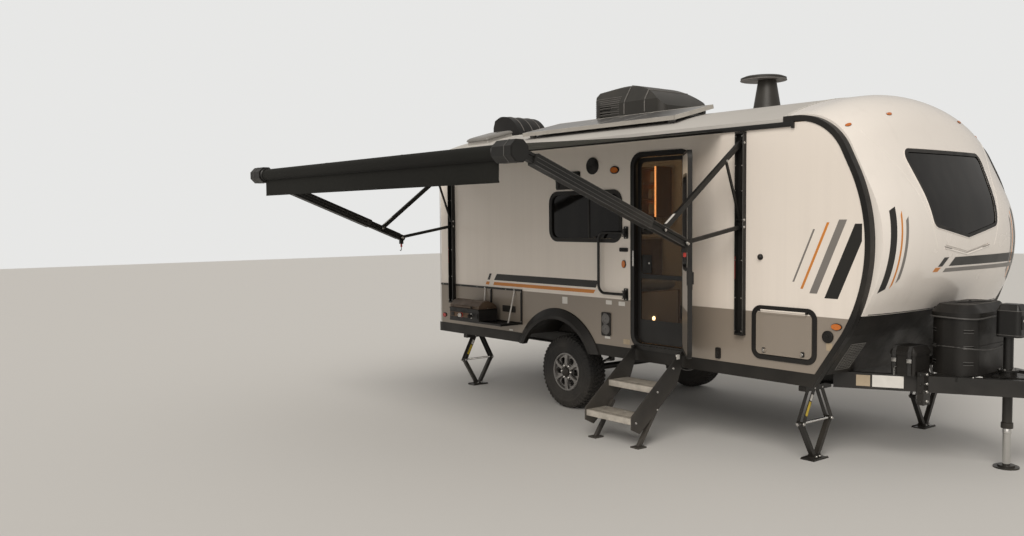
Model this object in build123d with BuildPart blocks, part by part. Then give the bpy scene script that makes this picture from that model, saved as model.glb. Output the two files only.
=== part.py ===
from build123d import *
import os
from math import cos, radians, sin

os.makedirs("parts", exist_ok=True)

# The trailer is drawn from the middle of its axle on the road: X forward, Y to the left, Z up.
# The origin of the finished part is the centre of the hitch ball in the coupler.
COUPLER_X = 4300.0  # ball centre ahead of the axle
COUPLER_Z = 600.0  # ball centre above the road


def side(y):
    """Upright plane along the trailer, seen from the door side: X to the right, Z up."""
    return Plane(origin=(-COUPLER_X, y, -COUPLER_Z), x_dir=(1, 0, 0), z_dir=(0, -1, 0))


def level(z):
    """Horizontal plane at a height above the road."""
    return Plane(origin=(-COUPLER_X, 0, z - COUPLER_Z), x_dir=(1, 0, 0), z_dir=(0, 0, 1))


def cross(x):
    """Upright plane across the trailer, seen from the front: Y to the right, Z up."""
    return Plane(origin=(x - COUPLER_X, 0, -COUPLER_Z), x_dir=(0, 1, 0), z_dir=(1, 0, 0))


ROAD = level(0)


def save(builder, name):
    """Label a finished piece and write it."""
    builder.part.label = name
    export_step(builder.part, "parts/" + name + ".step")


def block(x, y, z, mode=Mode.ADD):
    """Box between two values along each axis."""
    with Locations(((x[0] + x[1]) / 2, (y[0] + y[1]) / 2, (z[0] + z[1]) / 2)):
        Box(abs(x[1] - x[0]), abs(y[1] - y[0]), abs(z[1] - z[0]), mode=mode)


def rod(axis, centre, radius, length, mode=Mode.ADD):
    """Cylinder about a point, along X, Y or Z."""
    turn = {"X": (0, 90, 0), "Y": (90, 0, 0), "Z": (0, 0, 0)}[axis]
    with Locations(Location(centre, turn)):
        Cylinder(radius, length, mode=mode)


# Body
HALF_WIDTH = 1117.5
REAR = -2000.0
WALL = 45.0  # thickness of the wall panels
INNER = HALF_WIDTH - WALL
FLOOR_BOTTOM = 715.0
FLOOR_TOP = 760.0
SKIRT_BOTTOM = 612.0
SKIRT = 18.0
WALL_TOP = 2602.0
EAVE = 2640.0  # roof height at the side walls
CROWN = 2870.0  # roof height on the centre line
ROOF = 55.0
ROOF_FRONT = 2598.0

# Front outline on the side walls: its corners, and their forward move at the centre line
BROW = (2997.0, EAVE)
NOSE = (3474.5, 1660.0)
CHIN = (3135.0, 1021.0)
TOE = (2870.0, 630.0)
BROW_ROUND = 450.0
NOSE_ROUND = 1300.0
BROW_BULGE = 100.0
NOSE_BULGE = 125.0
CHIN_BULGE = 80.0
CAP_REAR = 2600.0
CAP_BOTTOM = 1170.0
CAP_HALF = 1055.0
CAP_SKIN = 25.0
TRIM_IN = 30.0
TRIM_OUT = 14.0
TRIM_INNER = CAP_HALF + 1
TRIM_OUTER = HALF_WIDTH + 6

# Openings: low x, high x, low z, high z, corner radius
DOORWAY = (1030.0, 1680.0, 755.0, 2445.0, 95.0)
DINETTE_WINDOW = (-80.0, 870.0, 1690.0, 2130.0, 90.0)
BAGGAGE = (2345.0, 2885.0, 800.0, 1180.0, 60.0)
BED_WINDOW = (1500.0, 2300.0, 1690.0, 2130.0, 90.0)
SINK_WINDOW = (-1500.0, -700.0, 1690.0, 2130.0, 90.0)
REAR_WINDOW = (-450.0, 450.0, 1720.0, 2130.0, 90.0)  # low y and high y

# Running gear
HUB_Z = 365.0
TYRE_RADIUS = 365.0
TYRE_HALF = 115.0
WHEEL_Y = 905.0
RIM_RADIUS = 190.0
ARCH = 548.0
ARCH_Z = 365.0  # centre of the wheel arch
RAIL_Y = 745.0
RAIL_WIDE = 50.0
RAIL_TOP = 715.0
RAIL_BOTTOM = 590.0
HANDS = (-1, 1)  # door side, far side


def crown(y):
    """Height of the roof's arc at a distance from the centre line."""
    return CROWN - (CROWN - EAVE) * (y / HALF_WIDTH) ** 2


def bulge(y):
    """Share of the cap's forward bulge at a distance from the centre line."""
    return 1 - abs(y / HALF_WIDTH) ** 4


def rounded(opening, grow=0.0, mode=Mode.ADD):
    """Rounded rectangle of an opening, grown on every side, in the current sketch."""
    x0, x1, z0, z1, corner = opening
    with Locations(((x0 + x1) / 2, (z0 + z1) / 2)):
        RectangleRounded(x1 - x0 + 2 * grow, z1 - z0 + 2 * grow, corner + grow, mode=mode)


def window_panel(low, high, keep_top, keep_bottom):
    """Keep the part of the current sketch between two x and two z values."""
    with Locations(((low + high) / 2, (keep_top + keep_bottom) / 2)):
        Rectangle(high - low, keep_top - keep_bottom, mode=Mode.INTERSECT)


def side_outline(margin):
    """Outline of the body seen from the side, grown by a margin."""
    with BuildSketch() as face:
        with BuildLine():
            Polyline((-4000, -1000), (-4000, EAVE), BROW, NOSE, CHIN, TOE, (1805, -941), close=True)
        make_face()
        fillet(face.vertices().sort_by(Axis.X)[-1], NOSE_ROUND)
        fillet(face.vertices().sort_by_distance((BROW[0], BROW[1], 0))[0], BROW_ROUND)
        if margin != 0:
            offset(amount=margin, kind=Kind.INTERSECTION)
    return face.sketch


def ring(opening, outer, inner):
    """Flat frame round an opening, from one growth to another, in the current sketch."""
    rounded(opening, outer)
    rounded(opening, inner, mode=Mode.SUBTRACT)


def bar(middle_x, start, end, wide, deep):
    """Straight bar with round ends between two points of the plane across the trailer."""
    run = Vector(end[0] - start[0], end[1] - start[1], 0)
    angle = run.get_signed_angle(Vector(1, 0, 0), Vector(0, 0, -1))
    with BuildPart(mode=Mode.PRIVATE) as part:
        with BuildSketch(cross(middle_x - wide / 2)):
            centre = ((start[0] + end[0]) / 2, (start[1] + end[1]) / 2, 0)
            with Locations(Location(centre, (0, 0, angle))):
                SlotOverall(run.length + deep, deep)
        extrude(amount=wide)
    return part.part


# Floor panel, with a bay for each wheel
with BuildPart(ROAD) as floor_panel:
    block((REAR + WALL, 2880), (-INNER, INNER), (FLOOR_BOTTOM, FLOOR_TOP))
    for hand in HANDS:
        bay = (-ARCH - 10, ARCH + 10)
        block(bay, (hand * 730, hand * (INNER + 5)), (FLOOR_BOTTOM, FLOOR_TOP), mode=Mode.SUBTRACT)
save(floor_panel, "floor_panel")

# Side walls: the door side has the doorway, the dinette window and a baggage opening
WALL_TABLE = (
    # name, hand, openings
    ("side_wall_right", -1, (DINETTE_WINDOW, DOORWAY, BAGGAGE)),
    ("side_wall_left", 1, (SINK_WINDOW, BED_WINDOW, BAGGAGE)),
)
for wall_name, hand, openings in WALL_TABLE:
    with BuildPart() as wall:
        with BuildSketch(side(hand * HALF_WIDTH)):
            add(side_outline(-TRIM_IN))
            window_panel(REAR, 4000, WALL_TOP, FLOOR_BOTTOM)
            for opening in openings:
                rounded(opening, mode=Mode.SUBTRACT)
            with Locations((0, ARCH_Z)):
                Circle(ARCH, mode=Mode.SUBTRACT)
        extrude(amount=hand * WALL)
    save(wall, wall_name)

# Rear wall, arched at its top, with an escape window
with BuildPart() as rear_wall:
    with BuildSketch(cross(REAR)):
        with BuildLine():
            Polyline((-INNER, WALL_TOP), (-INNER, FLOOR_BOTTOM), (INNER, FLOOR_BOTTOM), (INNER, WALL_TOP))
            ThreePointArc((INNER, WALL_TOP), (0, CROWN - ROOF), (-INNER, WALL_TOP))
        make_face()
        rounded(REAR_WINDOW, mode=Mode.SUBTRACT)
    extrude(amount=WALL)
save(rear_wall, "rear_wall")

VENT = (-1560.0, -730.0)


def on_roof(x, y, lift):
    """Plane on the roof at a place, square to its slope: X forward, Y up the slope, Z out."""
    slope = -2 * (CROWN - EAVE) * y / HALF_WIDTH**2
    length = (1 + slope**2) ** 0.5
    normal = (0, -slope / length, 1 / length)
    origin = (x - COUPLER_X, y + normal[1] * lift, crown(y) - COUPLER_Z + normal[2] * lift)
    return Plane(origin=origin, x_dir=(1, 0, 0), z_dir=normal)


# Roof panel, arched across, with the curb of a small vent
with BuildPart() as roof_panel:
    with BuildSketch(cross(REAR)):
        with BuildLine():
            Line((HALF_WIDTH, EAVE), (HALF_WIDTH, WALL_TOP))
            Line((HALF_WIDTH, WALL_TOP), (INNER, WALL_TOP))
            ThreePointArc((INNER, WALL_TOP), (0, CROWN - ROOF), (-INNER, WALL_TOP))
            Line((-INNER, WALL_TOP), (-HALF_WIDTH, WALL_TOP))
            Line((-HALF_WIDTH, WALL_TOP), (-HALF_WIDTH, EAVE))
            ThreePointArc((-HALF_WIDTH, EAVE), (0, CROWN), (HALF_WIDTH, EAVE))
        make_face()
    extrude(amount=ROOF_FRONT - REAR)
    with BuildSketch(on_roof(VENT[0], VENT[1], -8)):
        Rectangle(360, 360)
        Rectangle(340, 340, mode=Mode.SUBTRACT)
    extrude(amount=44)
save(roof_panel, "roof_panel")


def cap_section(y, skin):
    """Section of the front cap at a distance from the centre line, inset by its skin."""
    b = bulge(y)
    top = crown(y) - skin
    with BuildSketch(side(y)) as face:
        with BuildLine():
            Polyline(
                (CAP_REAR, CAP_BOTTOM),
                (CAP_REAR, top),
                (BROW[0] + BROW_BULGE * b - 0.62 * skin, top),
                (NOSE[0] + NOSE_BULGE * b - 1.13 * skin, NOSE[1]),
                (3214.0 + CHIN_BULGE * b - 1.13 * skin, CAP_BOTTOM),
                close=True,
            )
        make_face()
        nose_corner = face.vertices().sort_by(Axis.X)[-1]
        fillet(nose_corner, 900 - skin)
        brow_corner = face.vertices().group_by(Axis.Y)[-1].sort_by(Axis.X)[-1]
        fillet(brow_corner, BROW_ROUND - skin)
    return face.sketch


def window_outline(margin):
    """Five-sided front window with a pointed lower edge, grown by a margin."""
    with BuildSketch() as face:
        with BuildLine():
            Polyline(*FRONT_WINDOW, close=True)
        make_face()
        fillet(face.vertices(), 60)
        if margin != 0:
            offset(amount=margin, mode=Mode.REPLACE)
    return face.sketch


# Front cap: a moulded shell whose brow and nose bulge forward from the two trims,
# with a shallow crease under the window
CAP_STATIONS = (-CAP_HALF, -700.0, 0.0, 700.0, CAP_HALF)
FRONT_WINDOW = ((-600, 2375), (600, 2375), (490, 1828), (0, 1742), (-490, 1828))
CREASE = ((-350, 1676), (0, 1620), (350, 1676), (335, 1658), (0, 1604), (-335, 1658))
CAP_FRONT = 3000.0  # behind this the cap's front is not cut


def cap_shell(outer, inner, outline):
    """Piece of the cap's shell between two depths under its surface, in front of an outline."""
    with BuildPart(mode=Mode.PRIVATE) as shell:
        loft([cap_section(station, outer) for station in CAP_STATIONS])
        loft([cap_section(station, inner) for station in CAP_STATIONS], mode=Mode.SUBTRACT)
        with BuildSketch(cross(CAP_FRONT)):
            add(outline)
        extrude(amount=700, mode=Mode.INTERSECT)
    return shell.part


def crease_outline():
    """Shallow arrow shape under the front window."""
    with BuildSketch() as face:
        with BuildLine():
            Polyline(*CREASE, close=True)
        make_face()
    return face.sketch


with BuildPart() as front_cap:
    loft([cap_section(station, 0) for station in CAP_STATIONS])
    loft([cap_section(station, CAP_SKIN) for station in CAP_STATIONS], mode=Mode.SUBTRACT)
    with BuildSketch(cross(CAP_FRONT)):
        add(window_outline(0))
    extrude(amount=700, mode=Mode.SUBTRACT)
    add(cap_shell(-5, 7, crease_outline()), mode=Mode.SUBTRACT)
save(front_cap, "front_cap")


GUARD_BOTTOM = 708.0


def guard_section(y, skin):
    """Section of the panel under the cap at a distance from the centre line."""
    b = bulge(y)
    with BuildSketch(side(y)) as face:
        with BuildLine():
            Polyline(
                (CAP_REAR + 60, GUARD_BOTTOM),
                (CAP_REAR + 60, CAP_BOTTOM - 2),
                (3213.0 + CHIN_BULGE * b - 1.13 * skin, CAP_BOTTOM - 2),
                (CHIN[0] + 70 * b - 1.2 * skin, CHIN[1]),
                (TOE[0] + 60 + 60 * b - 1.2 * skin, GUARD_BOTTOM),
                close=True,
            )
        make_face()
    return face.sketch


# Front guard: the dark moulded panel from the cap down to the drawbar
GUARD_STATIONS = (-CAP_HALF, 0.0, CAP_HALF)
with BuildPart() as front_guard:
    loft([guard_section(station, 0) for station in GUARD_STATIONS])
    loft([guard_section(station, 20) for station in GUARD_STATIONS], mode=Mode.SUBTRACT)
save(front_guard, "front_guard")

# Dark trims that arch over the front edge of both side walls
with BuildPart() as front_trims:
    for hand in HANDS:
        with BuildSketch(side(hand * TRIM_OUTER)):
            add(side_outline(TRIM_OUT))
            add(side_outline(-TRIM_IN + 0.5), mode=Mode.SUBTRACT)
            window_panel(CAP_REAR, 4000, 3000, SKIRT_BOTTOM)
        extrude(amount=hand * (TRIM_OUTER - TRIM_INNER))
save(front_trims, "front_trims")

# Skirts under both side walls, cut round the wheel arches
with BuildPart() as side_skirts:
    for hand in HANDS:
        with BuildSketch(side(hand * HALF_WIDTH)):
            add(side_outline(-TRIM_IN))
            window_panel(REAR, 4000, FLOOR_BOTTOM - 1, SKIRT_BOTTOM)
            with Locations((0, ARCH_Z)):
                Circle(ARCH, mode=Mode.SUBTRACT)
        extrude(amount=hand * SKIRT)
save(side_skirts, "side_skirts")

# Gutter rails along both eaves; the door side's also holds the awning
with BuildPart(ROAD) as eave_rails:
    for hand in HANDS:
        block((REAR, 2700), (hand * (HALF_WIDTH + 0.5), hand * (HALF_WIDTH + 16)), (2572, 2608))
save(eave_rails, "eave_rails")

# Window frames and panes
WINDOWS = (
    # opening, hand
    (DINETTE_WINDOW, -1),
    (SINK_WINDOW, 1),
    (BED_WINDOW, 1),
)
bead_outline = window_outline(20) - window_outline(-8)
with BuildPart() as window_frames:
    add(cap_shell(-3.5, -0.4, bead_outline))
    for opening, hand in WINDOWS:
        with BuildSketch(side(hand * (HALF_WIDTH + 8))):
            ring(opening, 24, -14)
        extrude(amount=hand * 7.5)
        with BuildSketch(side(hand * (HALF_WIDTH + 0.5))):
            ring(opening, -0.5, -14)
        extrude(amount=hand * WALL)
    with BuildSketch(cross(REAR - 8)):
        ring(REAR_WINDOW, 24, -14)
    extrude(amount=7.5)
    with BuildSketch(cross(REAR - 0.5)):
        ring(REAR_WINDOW, -0.5, -14)
    extrude(amount=WALL)
save(window_frames, "window_frames")

with BuildPart() as window_panes:
    add(cap_shell(4, 12, window_outline(-2)))
    for opening, hand in WINDOWS:
        with BuildSketch(side(hand * (HALF_WIDTH - 8))):
            rounded(opening, -14.5)
        extrude(amount=hand * 6)
    with BuildSketch(cross(REAR + 8)):
        rounded(REAR_WINDOW, -14.5)
    extrude(amount=6)
save(window_panes, "window_panes")

# Door frame with a liner through the wall, a threshold ledge and the pins of both doors' hinges
PIN_X = 1668.0
PIN_Y = -1134.0
PIN_RADIUS = 4.5
PIN_LONG = 70.0
KNUCKLE = 8.0
KNUCKLE_GAP = 28.0  # from the middle of a hinge to its outer knuckles
BORE = PIN_RADIUS + 0.4
ENTRY_HINGES = (930.0, 1600.0, 2270.0)
SCREEN_HINGES = (1130.0, 2070.0)
STEP_PIN = 6.0
STEP_PIN_Y = -1150.0
STEP_PIN_Z = 735.0
STEP_X = (1062.0, 1615.0)
with BuildPart() as door_frame:
    with BuildSketch(side(-HALF_WIDTH - 8)):
        ring(DOORWAY, 28, -16)
    extrude(amount=-7.5)
    with BuildSketch(side(-HALF_WIDTH - 0.5)):
        ring(DOORWAY, -0.5, -16)
    extrude(amount=-WALL)
    with Locations(ROAD.location):
        block((1046, 1664), (-1130, -HALF_WIDTH - 0.5), (715, 755))
        for edge, way in ((STEP_X[0], -1), (STEP_X[1], 1)):
            ear = (edge + way * 6, edge + way * 16)
            block(ear, (STEP_PIN_Y - 16, -HALF_WIDTH - 8), (718, 752))
            rod("X", (edge, STEP_PIN_Y, STEP_PIN_Z), STEP_PIN, 32)
        for hinge in ENTRY_HINGES + SCREEN_HINGES:
            rod("Z", (PIN_X, PIN_Y, hinge), PIN_RADIUS, PIN_LONG)
            for way in HANDS:
                z = hinge + way * KNUCKLE_GAP
                rod("Z", (PIN_X, PIN_Y, z), KNUCKLE, 24)
                block((PIN_X, PIN_X + 22), (PIN_Y, PIN_Y + 9), (z - 12, z + 12))
save(door_frame, "door_frame")

LEAF_NEAR = 14.0  # leaf edges from the hinge pin
LEAF_FAR = 616.0
LEAF_LOW = 777.0
LEAF_HIGH = 2423.0
DOOR_OPEN = 135.0  # how far the entry door stands open


def leaf_plane(angle, depth):
    """Plane of a door leaf turned from closed about the pin: X along the leaf, Y up, Z inward."""
    turn = radians(180 + angle)
    along = (cos(turn), sin(turn), 0)
    inward = (sin(turn), -cos(turn), 0)
    origin = (PIN_X - COUPLER_X + inward[0] * depth, PIN_Y + inward[1] * depth, -COUPLER_Z)
    return Plane(origin=origin, x_dir=along, z_dir=inward)


def leaf_hinges(angle, heights, tabs):
    """A leaf's middle knuckles with their tabs, each tab from near to far and from shallow to deep."""
    with BuildPart(mode=Mode.PRIVATE) as part:
        with Locations(leaf_plane(angle, 0).location):
            for height in heights:
                with Locations(Location((0, height, 0), (90, 0, 0))):
                    Cylinder(KNUCKLE, 26)
                for near, far, shallow, deep in tabs:
                    block((near, far), (height - 13, height + 13), (shallow, deep))
                with Locations(Location((0, height, 0), (90, 0, 0))):
                    Cylinder(BORE, 26, mode=Mode.SUBTRACT)
    return part.part


# Entry door: a smooth panel, a dark trim round its edge and window, and a latch
LEAF = (LEAF_NEAR, LEAF_FAR, LEAF_LOW, LEAF_HIGH, 73.0)
DOOR_WINDOW = (120.0, 500.0, 1480.0, 2230.0, 60.0)
ENTRY_TABS = ((0, 34, 2, 7.7),)
with BuildPart() as entry_door:
    with BuildSketch(leaf_plane(DOOR_OPEN, 11)):
        rounded(LEAF, -22)
        rounded(DOOR_WINDOW, mode=Mode.SUBTRACT)
    extrude(amount=30)
save(entry_door, "entry_door")

with BuildPart() as entry_door_trim:
    with BuildSketch(leaf_plane(DOOR_OPEN, 8)):
        ring(LEAF, 0, -21.5)
    extrude(amount=36)
    for depth in (7, 41.5):
        with BuildSketch(leaf_plane(DOOR_OPEN, depth)):
            ring(DOOR_WINDOW, 16, -8)
        extrude(amount=3.5)
    with BuildSketch(leaf_plane(DOOR_OPEN, 10)):
        ring(DOOR_WINDOW, -0.5, -8)
    extrude(amount=32)
    with BuildSketch(leaf_plane(DOOR_OPEN, 3)):
        with Locations((552, 1400)):
            RectangleRounded(76, 150, 15)
    extrude(amount=7.5)
    with BuildSketch(leaf_plane(DOOR_OPEN, -9)):
        with Locations((540, 1415)):
            RectangleRounded(36, 96, 10)
    extrude(amount=13)
    add(leaf_hinges(DOOR_OPEN, ENTRY_HINGES, ENTRY_TABS))
save(entry_door_trim, "entry_door_trim")

with BuildPart() as entry_door_window:
    with BuildSketch(leaf_plane(DOOR_OPEN, 22)):
        rounded(DOOR_WINDOW, -8.5)
    extrude(amount=8)
save(entry_door_window, "entry_door_window")

# Screen door: a light frame with two rails and a kick panel, hung by cranked tabs on the same pins
SCREEN_DEPTH = 50.0
SCREEN_TABS = ((7.5, 10.5, 0, 49.7), (7.5, 30, 45.7, 49.7))
with BuildPart() as screen_door:
    with BuildSketch(leaf_plane(0, SCREEN_DEPTH)):
        rounded(LEAF)
        rounded((50, 576, 1390, 2385, 45), mode=Mode.SUBTRACT)
        rounded((50, 576, 985, 1350, 12), mode=Mode.SUBTRACT)
    extrude(amount=11)
    for rib in range(5):
        with BuildSketch(leaf_plane(0, SCREEN_DEPTH + 11)):
            with Locations((313, 815 + rib * 34)):
                Rectangle(500, 8)
        extrude(amount=2)
    add(leaf_hinges(0, SCREEN_HINGES, SCREEN_TABS))
save(screen_door, "screen_door")

with BuildPart() as screen_mesh:
    with BuildSketch(leaf_plane(0, SCREEN_DEPTH + 5)):
        rounded((50.5, 575.5, 1390.5, 2384.5, 44.5))
        rounded((50.5, 575.5, 985.5, 1349.5, 11.5))
    extrude(amount=1.5)
save(screen_mesh, "screen_mesh")

# Baggage frames with a hinge pin over each opening, and doors hung from the pins
BAGGAGE_PIN_Y = 1134.0
BAGGAGE_PIN_Z = 1166.0
BAGGAGE_MIDDLE = (BAGGAGE[0] + BAGGAGE[1]) / 2
BAGGAGE_PIN = 4.0
BAGGAGE_TUBE = 400.0
with BuildPart() as baggage_frames:
    for hand in HANDS:
        with BuildSketch(side(hand * (HALF_WIDTH + 8))):
            ring(BAGGAGE, 22, -14)
        extrude(amount=hand * 7.5)
        with BuildSketch(side(hand * (HALF_WIDTH + 0.5))):
            ring(BAGGAGE, -0.5, -14)
        extrude(amount=hand * WALL)
        with Locations(ROAD.location):
            rod("X", (BAGGAGE_MIDDLE, hand * BAGGAGE_PIN_Y, BAGGAGE_PIN_Z), BAGGAGE_PIN, BAGGAGE_TUBE + 30)
            for way in HANDS:
                end = BAGGAGE_MIDDLE + way * (BAGGAGE_TUBE / 2 + 12)
                rod("X", (end, hand * BAGGAGE_PIN_Y, BAGGAGE_PIN_Z), 9, 14)
save(baggage_frames, "baggage_frames")

for hand, hatch_name in ((-1, "baggage_door_right"), (1, "baggage_door_left")):
    with BuildPart() as baggage_door:
        with BuildSketch(side(hand * (HALF_WIDTH + 8))):
            rounded(BAGGAGE, -20)
        extrude(amount=hand * 30)
        pin = (BAGGAGE_MIDDLE, hand * BAGGAGE_PIN_Y, BAGGAGE_PIN_Z)
        strip = (BAGGAGE_MIDDLE - BAGGAGE_TUBE / 2, BAGGAGE_MIDDLE + BAGGAGE_TUBE / 2)
        with Locations(ROAD.location):
            rod("X", pin, 6.5, BAGGAGE_TUBE)
            block(strip, (hand * 1125, hand * 1130), (1136, 1163))
            rod("X", pin, BAGGAGE_PIN + 0.4, BAGGAGE_TUBE, mode=Mode.SUBTRACT)
            for way in HANDS:
                latch = BAGGAGE_MIDDLE + way * 165
                rod("Y", (latch, hand * 1128, 850), 15, 6)
                block((latch - 4, latch + 4), (hand * 1129, hand * 1137), (836, 864))
    save(baggage_door, hatch_name)

# Entry steps: two treads between side plates that swing up on pins at the threshold, and two legs
TREADS = (
    # front edge y, top z
    (-1470.0, 478.0),
    (-1740.0, 252.0),
)
TREAD_DEEP = 240.0
PLATE = 10.0
SIDE_PLATE = (
    # y, z of its corners
    (-1138, 700),
    (-1138, 735),
    (-1150, 749),
    (-1750, 270),
    (-1750, 165),
    (-1655, 118),
    (-1200, 475),
    (-1138, 620),
)
LEG_IN = 25.0  # legs inside the side plates
with BuildPart() as entry_steps:
    for edge, way in ((STEP_X[0], 1), (STEP_X[1], -1)):
        with BuildSketch(cross(edge)):
            with BuildLine():
                Polyline(*SIDE_PLATE, close=True)
            make_face()
        extrude(amount=way * PLATE)
        leg_x = edge + way * LEG_IN
        add(bar(leg_x, (-1440, 290), (-1640, 14), 32, 32))
        with Locations(ROAD.location):
            block((leg_x - 45, leg_x + 45), (-1695, -1595), (0, 12))
    with Locations(ROAD.location):
        for front, top in TREADS:
            across = (STEP_X[0] + PLATE, STEP_X[1] - PLATE)
            block(across, (front, front + TREAD_DEEP), (top - 24, top))
            block(across, (front, front + 12), (top - 50, top))
            block(across, (front + 44, front + 52), (top - 3, top), mode=Mode.SUBTRACT)
            block(across, (front + TREAD_DEEP - 8, front + TREAD_DEEP), (top - 40, top))
        rod("X", (sum(STEP_X) / 2, STEP_PIN_Y, STEP_PIN_Z), STEP_PIN + 0.4, 700, mode=Mode.SUBTRACT)
save(entry_steps, "entry_steps")

# Chassis: two channel rails, and the crossmembers and outriggers that join them
CROSSMEMBERS = (-1950.0, -1680.0, -900.0, 900.0, 1800.0, 2700.0)
CHASSIS_FRONT = 2860.0
RAIL_IN = RAIL_Y - RAIL_WIDE / 2
RAIL_OUT = RAIL_Y + RAIL_WIDE / 2
with BuildPart(ROAD) as chassis_frame:
    for hand in HANDS:
        web = hand * RAIL_IN
        tip = hand * RAIL_OUT
        block((-2100, CHASSIS_FRONT), (web, tip), (RAIL_TOP - 8, RAIL_TOP))
        block((-2100, CHASSIS_FRONT), (web, tip), (RAIL_BOTTOM, RAIL_BOTTOM + 8))
        block((-2100, CHASSIS_FRONT), (web, web + hand * 6), (RAIL_BOTTOM, RAIL_TOP))
save(chassis_frame, "chassis_frame")

with BuildPart(ROAD) as crossmembers:
    for x in CROSSMEMBERS:
        block((x - 20, x + 20), (-RAIL_IN + 0.5, RAIL_IN - 0.5), (RAIL_TOP - 60, RAIL_TOP))
        for hand in HANDS:
            block((x - 20, x + 20), (hand * (RAIL_OUT + 0.5), hand * 1090), (RAIL_TOP - 45, RAIL_TOP))
    block((CHASSIS_FRONT - 45, CHASSIS_FRONT), (-RAIL_IN + 0.5, RAIL_IN - 0.5), (RAIL_BOTTOM, RAIL_TOP - 12))
save(crossmembers, "crossmembers")

# Drawbar: two rails that run together into the coupler, a cross plate and a clamp for a spring bar
DRAW_TOP = 703.0
DRAW_BOTTOM = 580.0
with BuildPart(ROAD) as drawbar:
    for hand in HANDS:
        with BuildSketch(level(DRAW_BOTTOM)):
            with BuildLine():
                Polyline(
                    (CHASSIS_FRONT, hand * 760),
                    (CHASSIS_FRONT, hand * 822),
                    (4215, hand * 92),
                    (4215, hand * 30),
                    close=True,
                )
            make_face()
        extrude(amount=DRAW_TOP - DRAW_BOTTOM)
        block((3400, 3450), (hand * 478, hand * 575), (490, 735))
    block((3420, 3620), (-420, 420), (DRAW_TOP - 30, DRAW_TOP))
    block((3740, 4160), (-110, 110), (DRAW_TOP - 10, DRAW_TOP))
    block((3190, 3400), (-600, -350), (DRAW_TOP - 6, DRAW_TOP))
    rod("Z", (3800, 0, 640), 60, 180)
    rod("Z", (3800, 0, 640), 36, 200, mode=Mode.SUBTRACT)
save(drawbar, "drawbar")

# Coupler with its ball socket, open downward
SOCKET_RADIUS = 30.0
with BuildPart(ROAD) as coupler:
    with BuildSketch(level(DRAW_TOP)):
        with BuildLine():
            Polyline((3930, -150), (4300, -45), (4300, 45), (3930, 150), close=True)
        make_face()
    extrude(amount=8)
    block((4216, 4300), (-48, 48), (DRAW_TOP - 75, DRAW_TOP + 8.5))
    rod("Z", (COUPLER_X, 0, 640), 48, 120)
    rod("Z", (COUPLER_X, 0, 601), SOCKET_RADIUS, 42, mode=Mode.SUBTRACT)
    block((4150, 4300), (-14, 14), (DRAW_TOP + 8, DRAW_TOP + 40))
save(coupler, "coupler")

# Tongue jack: a foot on its inner tube, the outer tube and a rounded motor head
JACK_X = 3800.0
with BuildPart(ROAD) as tongue_jack:
    rod("Z", (JACK_X, 0, 650), 35, 700)
    rod("Z", (JACK_X, 0, 160), 27, 300)
    rod("Z", (JACK_X, 0, 6), 90, 12)
    rod("Z", (JACK_X, 0, 18), 60, 12)
    rod("Z", (JACK_X, 0, 736), 72, 12)
    with BuildSketch(level(990)):
        with Locations((JACK_X + 20, 0)):
            RectangleRounded(180, 150, 34)
    extrude(amount=195)
    with BuildSketch(level(1185)):
        with Locations((JACK_X + 20, 0)):
            RectangleRounded(180, 150, 34)
    extrude(amount=50, taper=28)
save(tongue_jack, "tongue_jack")

# Cover over the two gas bottles: a body with grip slots at its corners, and a lipped lid
COVER_X = 3510.0
COVER_LOW = 425.0  # height of the body under the lid
with BuildPart(ROAD) as gas_bottle_cover:
    with BuildSketch(level(DRAW_TOP)):
        with Locations((COVER_X, 0)):
            RectangleRounded(340, 660, 130)
    extrude(amount=COVER_LOW)
    with BuildSketch(level(DRAW_TOP + 205)):
        with Locations((COVER_X, 0)):
            RectangleRounded(350, 670, 135)
    extrude(amount=14)
    with BuildSketch(level(DRAW_TOP + COVER_LOW)):
        with Locations((COVER_X, 0)):
            RectangleRounded(366, 686, 143)
    extrude(amount=40)
    with BuildSketch(level(DRAW_TOP + COVER_LOW + 40)):
        with Locations((COVER_X, 0)):
            RectangleRounded(366, 686, 143)
    extrude(amount=60, taper=42)
    for hand in HANDS:
        for way in HANDS:
            for slot in range(3):
                z = DRAW_TOP + 90 + slot * 120
                corner = (COVER_X + way * 134, hand * 294, z)
                with Locations(Location(corner, (0, 0, way * hand * 45))):
                    Box(30, 74, 20, mode=Mode.SUBTRACT)
save(gas_bottle_cover, "gas_bottle_cover")

with BuildPart(ROAD) as battery_box:
    with BuildSketch(level(DRAW_TOP)):
        with Locations((3295, -480)):
            RectangleRounded(190, 240, 20)
    extrude(amount=150)
    with BuildSketch(level(DRAW_TOP + 150)):
        with Locations((3295, -480)):
            RectangleRounded(206, 256, 26)
    extrude(amount=24)
    with BuildSketch(level(DRAW_TOP + 174)):
        with Locations((3295, -480)):
            RectangleRounded(200, 250, 24)
    extrude(amount=42, taper=35)
save(battery_box, "battery_box")

# Axle with its spindles and brake plates, and leaf springs hung from the rails
SPINDLE = 22.0
BRAKE_Y = 795.0
with BuildPart(ROAD) as axle:
    rod("Y", (0, 0, HUB_Z), 32, 1520)
    rod("Y", (0, 0, HUB_Z), SPINDLE, 1860)
    for hand in HANDS:
        rod("Y", (0, hand * BRAKE_Y, HUB_Z), 150, 14)
save(axle, "axle")

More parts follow.
